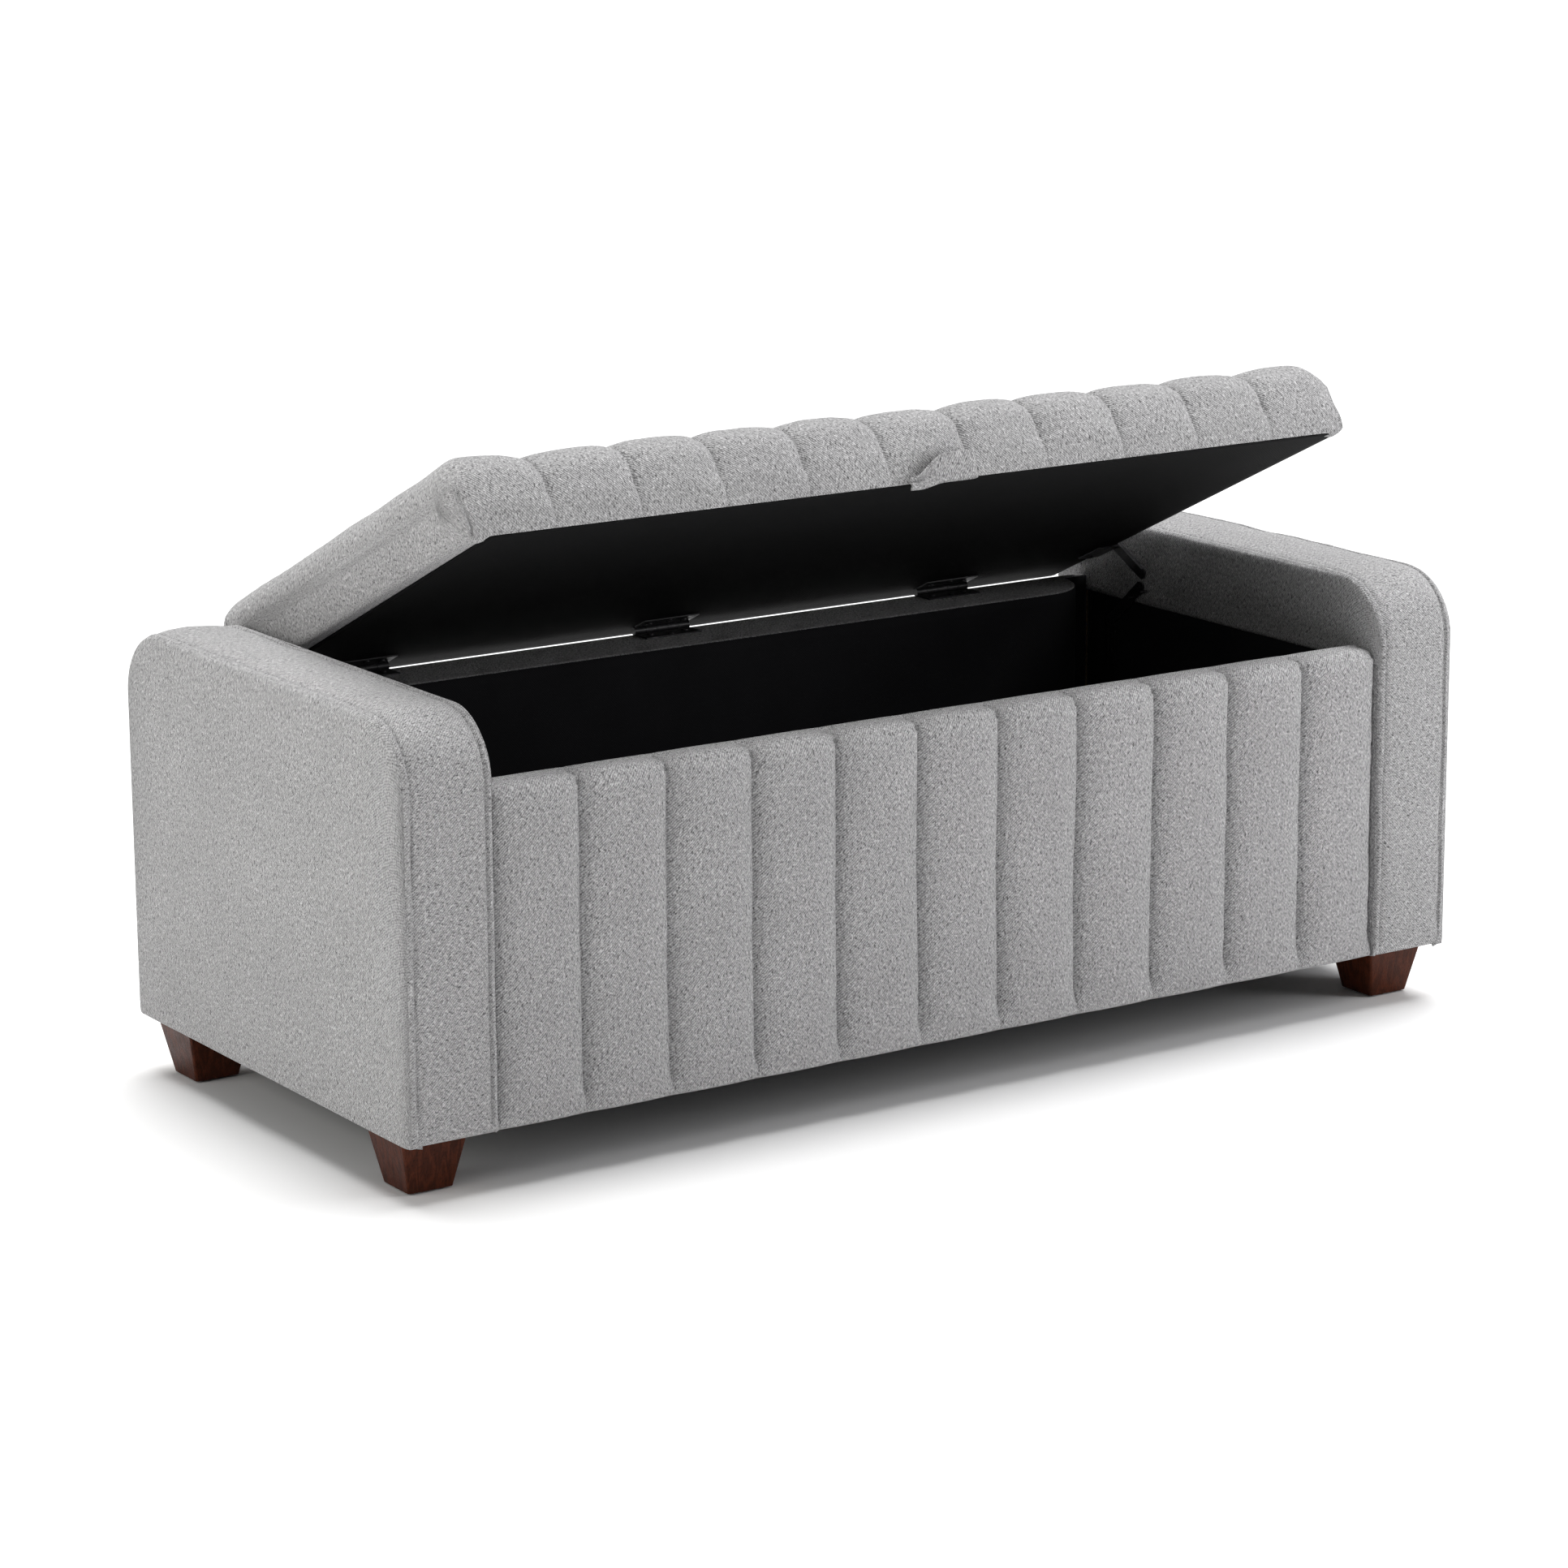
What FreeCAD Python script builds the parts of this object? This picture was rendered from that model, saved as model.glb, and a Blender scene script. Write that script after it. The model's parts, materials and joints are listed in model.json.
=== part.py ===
import FreeCAD, Part
import os
import re

# Upholstered storage bench with a hinged lid, shown with the lid part open.
# Frame: origin on the floor under the middle of the carcass, +X to the right as seen from the
# front, -Y to the front, +Z up. All sizes are in millimetres.

os.makedirs("parts", exist_ok=True)
doc = FreeCAD.newDocument("StorageBench")

# ---------------------------------------------------------------------------------------------
# Driving sizes
# ---------------------------------------------------------------------------------------------

SIZES = {
    # whole bench
    "bench_width": 1300,
    "bench_depth": 574,
    "arm_height": 472,
    "arm_width": 104,
    "arm_corner_radius": 68,
    "rim_height": 400,
    "leg_height": 60,
    # upholstery and boards
    "cover_thickness": 5,
    "side_panel_thickness": 12,
    "frame_strip_thickness": 20,
    "front_board_thickness": 15,
    "front_pad_thickness": 24,
    "front_pad_top": 8,
    "front_pad_radius": 16,
    "back_board_thickness": 12,
    "back_inset": 38,
    "back_cover_top_radius": 9,
    "rail_depth": 70,
    "rail_thickness": 22,
    "rail_end_gap": 34,
    "rail_corner_radius": 70,
    "stud_width": 40,
    "stud_spacing": 360,
    "stretcher_height": 22,
    "stretcher_thickness": 28,
    "floor_thickness": 9,
    "lining_thickness": 3,
    "dust_cover_thickness": 1.5,
    "dust_cover_margin": 12,
    "lining_drop": 18,
    "board_end_gap": 0.3,
    "cut_through": 1,
    # feet
    "foot_top_width": 74,
    "foot_bottom_width": 50,
    "foot_edge_radius": 3,
    "foot_inset_side": 47,
    "foot_inset_front": 63,
    "glide_radius": 14,
    "glide_thickness": 2,
    "foot_bolt_radius": 4,
    "foot_bolt_length": 52,
    "foot_bolt_rise": 18,
    "bolt_hole_clearance": 0.2,
    # carcass bolts
    "carcass_bolt_radius": 3,
    "carcass_bolt_grip": 40,
    "bolt_head_radius": 6,
    "bolt_head_thickness": 4,
    "bolt_height_low": 130,
    "bolt_height_high": 340,
    # lid
    "lid_angle": 25,
    "lid_side_gap": 10,
    "lid_thickness": 86,
    "lid_rear_overhang": 40,
    "lid_corner_radius": 44,
    "lid_side_radius": 12,
    "lid_wrap_side": 22,
    "lid_wrap_front": 8,
    "lid_wrap_thickness": 2,
    "lid_cover_thickness": 5,
    "lid_board_thickness": 15,
    "foam_radius": 38,
    # hinges
    "hinge_spacing": 375,
    "hinge_row_shift": 28,
    "hinge_setback": 9,
    "hinge_length": 70,
    "knuckle_radius": 4.3,
    "knuckle_gap": 0.4,
    "hinge_pin_radius": 2,
    "hinge_pin_clearance": 0.05,
    "leaf_depth": 28,
    "leaf_thickness": 1.5,
    "screw_radius": 2,
    "screw_head_radius": 3.6,
    "screw_head_thickness": 1.2,
    "screw_length": 13,
    "hinge_screw_spacing": 44,
    # lid stays
    "stay_reach": 70,
    "stay_rise": 20,
    "stay_base_forward": 58,
    "stay_base_drop": 50,
    "stay_bend_forward": 64,
    "stay_bend_drop": 33,
    "stay_strip_width": 13,
    "stay_thickness": 2,
    "stay_rib_width": 2.4,
    "stay_rib_clear": 16,
    "stay_elbow_width": 26,
    "stay_elbow_lean": 24,
    "stay_elbow_rise": 11,
    "stay_elbow_fall": 9,
    "stay_flange_width": 8,
    "stay_gap": 0.4,
    "stay_pivot_radius": 2.5,
    "stay_pivot_clearance": 0.05,
    "stay_open_pivot_clearance": 0.5,
    "stay_rivet_head_radius": 4.5,
    "stay_rivet_head_thickness": 1,
    "stay_plate_length": 54,
    "stay_lid_plate_length": 44,
    "stay_lid_plate_width": 26,
    "stay_screw_spacing": 36,
    # pull tab
    "tab_length": 78,
    "tab_width": 27,
    "tab_thickness": 8,
    "tab_edge_radius": 3.5,
    "tab_shift": 8,
    "tab_gap": 0.3,
}

SHEET_NAMES = {alias: "Sizes." + alias for alias in SIZES}

sheet = doc.addObject("Spreadsheet::Sheet", "Sizes")
for row, (alias, value) in enumerate(SIZES.items(), start=1):
    sheet.set(f"A{row}", str(value))
    sheet.setAlias(f"A{row}", alias)
doc.recompute()


def size(expression):
    """Write plain size names as spreadsheet references, so 'arm_width / 2' is 'Sizes.arm_width / 2'."""
    return re.sub("[a-z_]+", lambda word: SHEET_NAMES.get(word.group(), word.group()), expression)


# ---------------------------------------------------------------------------------------------
# Ways to make a solid with sizes bound to the sheet
# ---------------------------------------------------------------------------------------------

nodes = []


def place(piece, x="0", y="0", z="0"):
    for axis, expression in zip("xyz", (x, y, z)):
        piece.setExpression("Placement.Base." + axis, size(expression))
    return piece


def bind_block(piece, x, y, z):
    """Give a box its low and high limits along each axis."""
    for side, (low, high) in zip(("Length", "Width", "Height"), (x, y, z)):
        piece.setExpression(side, size(f"({high}) - ({low})"))
    return place(piece, x[0], y[0], z[0])


def block(name, x, y, z):
    return bind_block(doc.addObject("Part::Box", name), x, y, z)


def rod(name, axis, radius, x, y, z):
    """A cylinder along one axis, where that axis has a low and high limit and the others a centre."""
    piece = doc.addObject("Part::Cylinder", name)
    limits = {"X": x, "Y": y, "Z": z}[axis]
    piece.setExpression("Radius", size(radius))
    piece.setExpression("Height", size(f"({limits[1]}) - ({limits[0]})"))
    turn = {"X": (0, 1, 0, 90), "Y": (1, 0, 0, -90), "Z": (0, 0, 1, 0)}[axis]
    piece.Placement.Rotation = FreeCAD.Rotation(FreeCAD.Vector(*turn[:3]), turn[3])
    start = [limit[0] if isinstance(limit, tuple) else limit for limit in (x, y, z)]
    return place(piece, *start)


def rounded_block(name, x, y, z, roundings):
    """A box body whose edges are rounded: each rounding is a radius and the names of two faces."""
    body = doc.addObject("PartDesign::Body", name)
    box = body.newObject("PartDesign::AdditiveBox", name + "_box")
    bind_block(box, x, y, z)
    doc.recompute()
    for count, (radius, corners) in enumerate(roundings):
        feature = body.Tip
        fillet = body.newObject("PartDesign::Fillet", f"{name}_rounding_{count}")
        fillet.Base = (feature, edges_between(feature, box.Shape.BoundBox, corners))
        fillet.setExpression("Radius", size(radius))
        body.Tip = fillet
        doc.recompute()
    return body


def edges_between(feature, bounds, corners):
    """Names of the straight edges where two named faces of a box meet, such as top and front."""
    faces = {
        "left": ("x", bounds.XMin),
        "right": ("x", bounds.XMax),
        "front": ("y", bounds.YMin),
        "back": ("y", bounds.YMax),
        "bottom": ("z", bounds.ZMin),
        "top": ("z", bounds.ZMax),
    }
    found = []
    for number, edge in enumerate(feature.Shape.Edges, start=1):
        middle = edge.CenterOfMass
        for pair in corners:
            limits = [faces[face] for face in pair]
            if all(abs(getattr(middle, axis) - value) < 1e-4 for axis, value in limits):
                found.append(f"Edge{number}")
    return found


def fuse(name, pieces):
    union = doc.addObject("Part::MultiFuse", name)
    union.Shapes = pieces
    return union


def group(name, pieces):
    """Separate solids of identical fasteners in one node."""
    compound = doc.addObject("Part::Compound", name)
    compound.Links = pieces
    return compound


def cut(name, base, tools):
    tool = tools[0] if len(tools) == 1 else fuse(name + "_tools", tools)
    result = doc.addObject("Part::Cut", name)
    result.Base = base
    result.Tool = tool
    return result


def keep(piece, label, on_lid=False):
    """Name a finished sub-part; one on the lid is modelled closed about the hinge, then turned open."""
    piece.Label = label
    if on_lid:
        piece.setExpression("Placement.Base.y", size(HINGE_Y))
        piece.setExpression("Placement.Base.z", size(HINGE_Z))
        piece.Placement.Rotation = FreeCAD.Rotation(FreeCAD.Vector(-1, 0, 0), 1)
        piece.setExpression("Placement.Rotation.Angle", size("lid_angle"))
    nodes.append(piece)
    return piece


# ---------------------------------------------------------------------------------------------
# Levels and planes that several pieces share
# ---------------------------------------------------------------------------------------------

SIDE_X = "bench_width / 2"
FRONT_Y = "- bench_depth / 2"
REAR_Y = "bench_depth / 2"
ARM_INNER_X = "(bench_width / 2 - arm_width)"
INNER_PANEL_X = "(bench_width / 2 - arm_width + cover_thickness)"
BOARD_END_X = "(bench_width / 2 - arm_width - board_end_gap)"
WOOD_BOTTOM_Z = "(leg_height + dust_cover_thickness)"
BACK_FACE_Y = "(bench_depth / 2 - back_inset)"
BACK_BOARD_Y = "(bench_depth / 2 - back_inset - cover_thickness)"
RAIL_REAR_Y = "(bench_depth / 2 - back_inset - cover_thickness - back_board_thickness)"
RAIL_FRONT_Y = f"({RAIL_REAR_Y} - rail_depth)"
CAVITY_BACK_Y = f"({RAIL_FRONT_Y} - lining_thickness)"
FRONT_BOARD_Y = "(- bench_depth / 2 + front_pad_thickness)"
FRONT_BOARD_BACK_Y = "(- bench_depth / 2 + front_pad_thickness + front_board_thickness)"
CAVITY_FRONT_Y = f"({FRONT_BOARD_BACK_Y} + lining_thickness)"
FLOOR_BOTTOM_Z = f"({WOOD_BOTTOM_Z} + stretcher_height)"
FLOOR_TOP_Z = f"({FLOOR_BOTTOM_Z} + floor_thickness)"
LINING_TOP_Z = "(rim_height - lining_drop)"
BACK_WOOD_TOP_Z = "(rim_height - cover_thickness)"
FRONT_WOOD_TOP_Z = "(rim_height - front_pad_top)"
HINGE_Y = "(bench_depth / 2 - back_inset - hinge_setback)"
HINGE_Z = "(rim_height + knuckle_radius)"

# ---------------------------------------------------------------------------------------------
# Arms: a boxed frame between two panels, under a boxing band and two side covers
# ---------------------------------------------------------------------------------------------


def arched_block(name, x, inset, bottom, radius):
    """The arm's side profile, inset all round except at its foot, between two planes along X."""
    return rounded_block(
        name,
        x,
        (f"{FRONT_Y} + {inset}", f"{REAR_Y} - {inset}"),
        (bottom, f"arm_height - {inset}"),
        [(radius, [("top", "front"), ("top", "back")])],
    )


def arm_span(side, inner, outer):
    """Limits along X for a slab of the left (-1) or right (+1) arm, given from the bench's middle."""
    if side > 0:
        return (inner, outer)
    return (f"- ({outer})", f"- ({inner})")


def foot_bolt_holes(name, side):
    holes = []
    for end, sign in (("front", "-"), ("back", "+")):
        holes.append(
            rod(
                f"{name}_{end}",
                "Z",
                "foot_bolt_radius + bolt_hole_clearance",
                f"{side} * (bench_width / 2 - foot_inset_side)",
                f"{sign} (bench_depth / 2 - foot_inset_front)",
                ("0", f"{WOOD_BOTTOM_Z} + frame_strip_thickness + cut_through"),
            )
        )
    return holes


FRONT_BOLT_Y = f"({FRONT_BOARD_Y} + front_board_thickness / 2)"
BACK_BOLT_Y = f"({BACK_BOARD_Y} - back_board_thickness / 2)"


def carcass_bolt_rods(name, side, radius, inner, outer, lines=(FRONT_BOLT_Y, BACK_BOLT_Y)):
    """Rods on the four bolt lines that join an arm to the front and back boards."""
    rods = []
    for line in lines:
        for height in ("bolt_height_low", "bolt_height_high"):
            rods.append(
                rod(f"{name}_{len(rods)}", "X", radius, arm_span(side, inner, outer), line, height)
            )
    return rods


BOLT_HOLE = "carcass_bolt_radius + bolt_hole_clearance"
BOLT_TIP_X = f"({BOARD_END_X} - carcass_bolt_grip)"
INNER_PANEL_BACK_X = f"({INNER_PANEL_X} + side_panel_thickness)"
OUTER_PANEL_X = "(bench_width / 2 - cover_thickness - side_panel_thickness)"
OUTER_PANEL_FACE_X = "(bench_width / 2 - cover_thickness)"

for side, arm in ((-1, "left"), (1, "right")):
    outer_cover = arched_block(
        f"{arm}_outer_cover",
        arm_span(side, OUTER_PANEL_FACE_X, SIDE_X),
        "0",
        "leg_height",
        "arm_corner_radius",
    )
    keep(outer_cover, f"{arm}_arm_outer_cover")

    band_outside = arched_block(
        f"{arm}_band_outside",
        arm_span(side, INNER_PANEL_X, OUTER_PANEL_FACE_X),
        "0",
        "leg_height",
        "arm_corner_radius",
    )
    band_inside = arched_block(
        f"{arm}_band_inside",
        arm_span(side, f"{INNER_PANEL_X} - cut_through", f"{OUTER_PANEL_FACE_X} + cut_through"),
        "cover_thickness",
        "0",
        "arm_corner_radius - cover_thickness",
    )
    keep(cut(f"{arm}_band", band_outside, [band_inside]), f"{arm}_arm_band_cover")

    inner_blank = arched_block(
        f"{arm}_inner_blank",
        arm_span(side, ARM_INNER_X, INNER_PANEL_X),
        "0",
        WOOD_BOTTOM_Z,
        "arm_corner_radius",
    )
    inner_window = block(
        f"{arm}_inner_window",
        arm_span(side, f"{ARM_INNER_X} - cut_through", f"{INNER_PANEL_X} + cut_through"),
        (FRONT_BOARD_BACK_Y, RAIL_REAR_Y),
        ("0", LINING_TOP_Z),
    )
    cover_holes = carcass_bolt_rods(
        f"{arm}_cover_hole",
        side,
        BOLT_HOLE,
        f"{ARM_INNER_X} - cut_through",
        f"{INNER_PANEL_X} + cut_through",
    )
    inner_cover = cut(f"{arm}_inner_cover", inner_blank, [inner_window] + cover_holes)
    keep(inner_cover, f"{arm}_arm_inner_cover")

    outer_panel = arched_block(
        f"{arm}_outer_panel",
        arm_span(side, OUTER_PANEL_X, OUTER_PANEL_FACE_X),
        "cover_thickness",
        WOOD_BOTTOM_Z,
        "arm_corner_radius - cover_thickness",
    )
    keep(outer_panel, f"{arm}_arm_outer_panel")

    inner_panel_blank = arched_block(
        f"{arm}_inner_panel_blank",
        arm_span(side, INNER_PANEL_X, INNER_PANEL_BACK_X),
        "cover_thickness",
        WOOD_BOTTOM_Z,
        "arm_corner_radius - cover_thickness",
    )
    panel_holes = carcass_bolt_rods(
        f"{arm}_panel_hole",
        side,
        BOLT_HOLE,
        f"{INNER_PANEL_X} - cut_through",
        f"{INNER_PANEL_BACK_X} + cut_through",
    )
    keep(cut(f"{arm}_inner_panel", inner_panel_blank, panel_holes), f"{arm}_arm_inner_panel")

    frame_outside = arched_block(
        f"{arm}_frame_outside",
        arm_span(side, INNER_PANEL_BACK_X, OUTER_PANEL_X),
        "cover_thickness",
        WOOD_BOTTOM_Z,
        "arm_corner_radius - cover_thickness",
    )
    frame_inside = arched_block(
        f"{arm}_frame_inside",
        arm_span(side, f"{INNER_PANEL_BACK_X} - cut_through", f"{OUTER_PANEL_X} + cut_through"),
        "(cover_thickness + frame_strip_thickness)",
        f"{WOOD_BOTTOM_Z} + frame_strip_thickness",
        "arm_corner_radius - cover_thickness - frame_strip_thickness",
    )
    frame_holes = foot_bolt_holes(f"{arm}_frame_hole", side)
    edge_frame = cut(f"{arm}_edge_frame", frame_outside, [frame_inside] + frame_holes)
    keep(edge_frame, f"{arm}_arm_edge_frame")

# ---------------------------------------------------------------------------------------------
# Front: a board between the arms with a foam-backed pad that rolls over its top edge
# ---------------------------------------------------------------------------------------------

ACROSS = (f"- {BOARD_END_X}", BOARD_END_X)

front_blank = block(
    "front_blank",
    ACROSS,
    (FRONT_BOARD_Y, FRONT_BOARD_BACK_Y),
    (WOOD_BOTTOM_Z, FRONT_WOOD_TOP_Z),
)
front_holes = []
back_holes = []
for side, arm in ((-1, "left"), (1, "right")):
    hole_ends = (f"{BOLT_TIP_X} - cut_through", f"{BOARD_END_X} + cut_through")
    front_holes += carcass_bolt_rods(
        f"front_{arm}_hole", side, BOLT_HOLE, *hole_ends, lines=(FRONT_BOLT_Y,)
    )
    back_holes += carcass_bolt_rods(
        f"back_{arm}_hole", side, BOLT_HOLE, *hole_ends, lines=(BACK_BOLT_Y,)
    )
keep(cut("front_panel", front_blank, front_holes), "front_board")

front_pad_blank = rounded_block(
    "front_pad_blank",
    ACROSS,
    (FRONT_Y, CAVITY_FRONT_Y),
    ("leg_height", "rim_height"),
    [("front_pad_radius", [("top", "front"), ("bottom", "front")])],
)
behind_pad = block(
    "behind_pad",
    (f"- {BOARD_END_X} - cut_through", f"{BOARD_END_X} + cut_through"),
    (FRONT_BOARD_Y, f"{CAVITY_FRONT_Y} + cut_through"),
    ("0", FRONT_WOOD_TOP_Z),
)
keep(cut("front_upholstery", front_pad_blank, [behind_pad]), "front_pad")

# ---------------------------------------------------------------------------------------------
# Back: a board set in from the arms' rear faces, a hinge rail on studs, one cover over both.
# The rail stops short of the arms and its front corners are rounded, which clears the lid stays.
# ---------------------------------------------------------------------------------------------

back_blank = block(
    "back_blank", ACROSS, (RAIL_REAR_Y, BACK_BOARD_Y), (WOOD_BOTTOM_Z, BACK_WOOD_TOP_Z)
)
keep(cut("back_panel", back_blank, back_holes), "back_board")

RAIL_END_X = f"({ARM_INNER_X} - rail_end_gap)"


def rail_outline(name, margin, rear, z):
    """A block with the plan of the lined rail, a margin inside its ends and its front face."""
    return rounded_block(
        name,
        (f"- {RAIL_END_X} + {margin}", f"{RAIL_END_X} - {margin}"),
        (f"{CAVITY_BACK_Y} + {margin}", rear),
        z,
        [(f"rail_corner_radius - {margin}", [("left", "front"), ("right", "front")])],
    )


RAIL_Z = (f"{BACK_WOOD_TOP_Z} - rail_thickness", BACK_WOOD_TOP_Z)
keep(rail_outline("hinge_rail_form", "lining_thickness", RAIL_REAR_Y, RAIL_Z), "hinge_rail")

back_cover_blank = rounded_block(
    "back_cover_blank",
    ACROSS,
    (CAVITY_BACK_Y, BACK_FACE_Y),
    ("leg_height", "rim_height"),
    [("back_cover_top_radius", [("top", "back")])],
)
behind_cover = block(
    "behind_cover",
    (f"- {BOARD_END_X} - cut_through", f"{BOARD_END_X} + cut_through"),
    (f"{CAVITY_BACK_Y} - cut_through", BACK_BOARD_Y),
    ("0", BACK_WOOD_TOP_Z),
)
beside_rail = block(
    "beside_rail",
    (f"- {BOARD_END_X} - cut_through", f"{BOARD_END_X} + cut_through"),
    (f"{CAVITY_BACK_Y} - cut_through", RAIL_REAR_Y),
    (BACK_WOOD_TOP_Z, "rim_height + cut_through"),
)
rail_top = rail_outline(
    "rail_top",
    "0",
    f"{RAIL_REAR_Y} + cut_through",
    (f"{BACK_WOOD_TOP_Z} - cut_through", "rim_height + cut_through * 2"),
)
stay_clearance = cut("stay_clearance", beside_rail, [rail_top])
keep(cut("back_upholstery", back_cover_blank, [behind_cover, stay_clearance]), "back_cover")

studs = []
for place_index in (-1, 0, 1):
    studs.append(
        block(
            f"stud_{place_index + 1}",
            (
                f"{place_index} * stud_spacing - stud_width / 2",
                f"{place_index} * stud_spacing + stud_width / 2",
            ),
            (RAIL_FRONT_Y, f"{RAIL_FRONT_Y} + stud_width"),
            (FLOOR_TOP_Z, f"{BACK_WOOD_TOP_Z} - rail_thickness"),
        )
    )
keep(group("back_studs_group", studs), "back_studs")

# ---------------------------------------------------------------------------------------------
# Bottom: two stretchers, the storage floor on them and a dust cover underneath
# ---------------------------------------------------------------------------------------------

stretchers = []
for end, low, high in (
    ("front", FRONT_BOARD_BACK_Y, f"{FRONT_BOARD_BACK_Y} + stretcher_thickness"),
    ("back", f"{RAIL_REAR_Y} - stretcher_thickness", RAIL_REAR_Y),
):
    stretchers.append(block(end + "_stretcher", ACROSS, (low, high), (WOOD_BOTTOM_Z, FLOOR_BOTTOM_Z)))
keep(group("stretcher_group", stretchers), "floor_stretchers")
keep(
    block(
        "floor_block",
        ACROSS,
        (FRONT_BOARD_BACK_Y, RAIL_REAR_Y),
        (FLOOR_BOTTOM_Z, FLOOR_TOP_Z),
    ),
    "floor_board",
)
DUST_SIDE_X = "bench_width / 2 - dust_cover_margin"
dust_blank = block(
    "dust_blank",
    (f"- ({DUST_SIDE_X})", DUST_SIDE_X),
    (FRONT_BOARD_Y, BACK_BOARD_Y),
    ("leg_height", WOOD_BOTTOM_Z),
)

# ---------------------------------------------------------------------------------------------
# Lining of the storage space
# ---------------------------------------------------------------------------------------------

LINING_FLOOR_Z = f"({FLOOR_TOP_Z} + lining_thickness)"
keep(
    block(
        "lining_front_block",
        ACROSS,
        (FRONT_BOARD_BACK_Y, CAVITY_FRONT_Y),
        (LINING_FLOOR_Z, FRONT_WOOD_TOP_Z),
    ),
    "lining_front",
)
LINING_BACK_Z = (LINING_FLOOR_Z, BACK_WOOD_TOP_Z)
under_rail = rail_outline("lining_back_outside", "0", RAIL_REAR_Y, LINING_BACK_Z)
behind_lining = rail_outline(
    "lining_back_inside",
    "lining_thickness",
    f"{RAIL_REAR_Y} + cut_through",
    (f"{LINING_FLOOR_Z} - cut_through", f"{BACK_WOOD_TOP_Z} + cut_through"),
)
back_linings = [cut("lining_back_curtain", under_rail, [behind_lining])]
floor_linings = [
    block(
        "lining_floor_block",
        ACROSS,
        (FRONT_BOARD_BACK_Y, RAIL_FRONT_Y),
        (FLOOR_TOP_Z, LINING_FLOOR_Z),
    )
]
for side, arm in ((-1, "left"), (1, "right")):
    back_linings.append(
        block(
            f"lining_back_{arm}",
            arm_span(side, f"{RAIL_END_X} - lining_thickness", BOARD_END_X),
            (f"{RAIL_REAR_Y} - lining_thickness", RAIL_REAR_Y),
            LINING_BACK_Z,
        )
    )
    floor_linings.append(
        block(
            f"lining_floor_{arm}",
            arm_span(side, f"{RAIL_END_X} - rail_corner_radius", BOARD_END_X),
            (RAIL_FRONT_Y, RAIL_REAR_Y),
            (FLOOR_TOP_Z, LINING_FLOOR_Z),
        )
    )
keep(fuse("lining_back_form", back_linings), "lining_back")
keep(fuse("lining_floor_form", floor_linings), "lining_floor")
for side, arm in ((-1, "left"), (1, "right")):
    keep(
        block(
            f"lining_{arm}_block",
            arm_span(side, f"{INNER_PANEL_X} - lining_thickness", INNER_PANEL_X),
            (CAVITY_FRONT_Y, f"{RAIL_REAR_Y} - lining_thickness"),
            (LINING_FLOOR_Z, LINING_TOP_Z),
        ),
        f"lining_{arm}",
    )

# ---------------------------------------------------------------------------------------------
# Feet: tapered square blocks on hanger bolts, with round glides
# ---------------------------------------------------------------------------------------------

foot_bolts = []
glides = []
for side, arm in ((-1, "left"), (1, "right")):
    for sign, end in (("-", "front"), ("+", "back")):
        name = f"foot_{end}_{arm}"
        centre_x = f"{side} * (bench_width / 2 - foot_inset_side)"
        centre_y = f"{sign} (bench_depth / 2 - foot_inset_front)"
        body = doc.addObject("PartDesign::Body", name + "_body")
        wedge = body.newObject("PartDesign::AdditiveWedge", name + "_wedge")
        for low, high, width in (
            ("Xmin", "Xmax", "foot_bottom_width"),
            ("Zmin", "Zmax", "foot_bottom_width"),
            ("X2min", "X2max", "foot_top_width"),
            ("Z2min", "Z2max", "foot_top_width"),
        ):
            wedge.setExpression(low, size(f"- {width} / 2"))
            wedge.setExpression(high, size(f"{width} / 2"))
        wedge.setExpression("Ymin", "0")
        wedge.setExpression("Ymax", size("leg_height - glide_thickness"))
        doc.recompute()
        corners = []
        for number, edge in enumerate(wedge.Shape.Edges, start=1):
            middle = edge.CenterOfMass
            if abs(abs(middle.x) - abs(middle.z)) < 1e-4 and abs(middle.x) > 1:
                corners.append(f"Edge{number}")
        fillet = body.newObject("PartDesign::Fillet", name + "_rounding")
        fillet.Base = (wedge, corners)
        fillet.setExpression("Radius", size("foot_edge_radius"))
        body.Tip = fillet
        body.Placement.Rotation = FreeCAD.Rotation(FreeCAD.Vector(1, 0, 0), 90)
        place(body, centre_x, centre_y, "glide_thickness")
        bolt_span = (
            f"{WOOD_BOTTOM_Z} + foot_bolt_rise - foot_bolt_length",
            f"{WOOD_BOTTOM_Z} + foot_bolt_rise",
        )
        bolt_hole = rod(
            name + "_hole",
            "Z",
            "foot_bolt_radius + bolt_hole_clearance",
            centre_x,
            centre_y,
            (f"{bolt_span[0]} - cut_through", "leg_height + cut_through"),
        )
        keep(cut(name + "_drilled", body, [bolt_hole]), name)
        foot_bolts.append(
            rod(name + "_bolt", "Z", "foot_bolt_radius", centre_x, centre_y, bolt_span)
        )
        glides.append(
            rod(name + "_glide", "Z", "glide_radius", centre_x, centre_y, ("0", "glide_thickness"))
        )
keep(group("foot_bolt_group", foot_bolts), "foot_hanger_bolts")
keep(group("glide_group", glides), "foot_glides")

dust_holes = foot_bolt_holes("dust_hole_left", -1) + foot_bolt_holes("dust_hole_right", 1)
keep(cut("dust_cover_sheet", dust_blank, dust_holes), "bottom_dust_cover")

# ---------------------------------------------------------------------------------------------
# Carcass bolts: hex bolts from inside each arm into the ends of the front and back boards
# ---------------------------------------------------------------------------------------------

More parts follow.
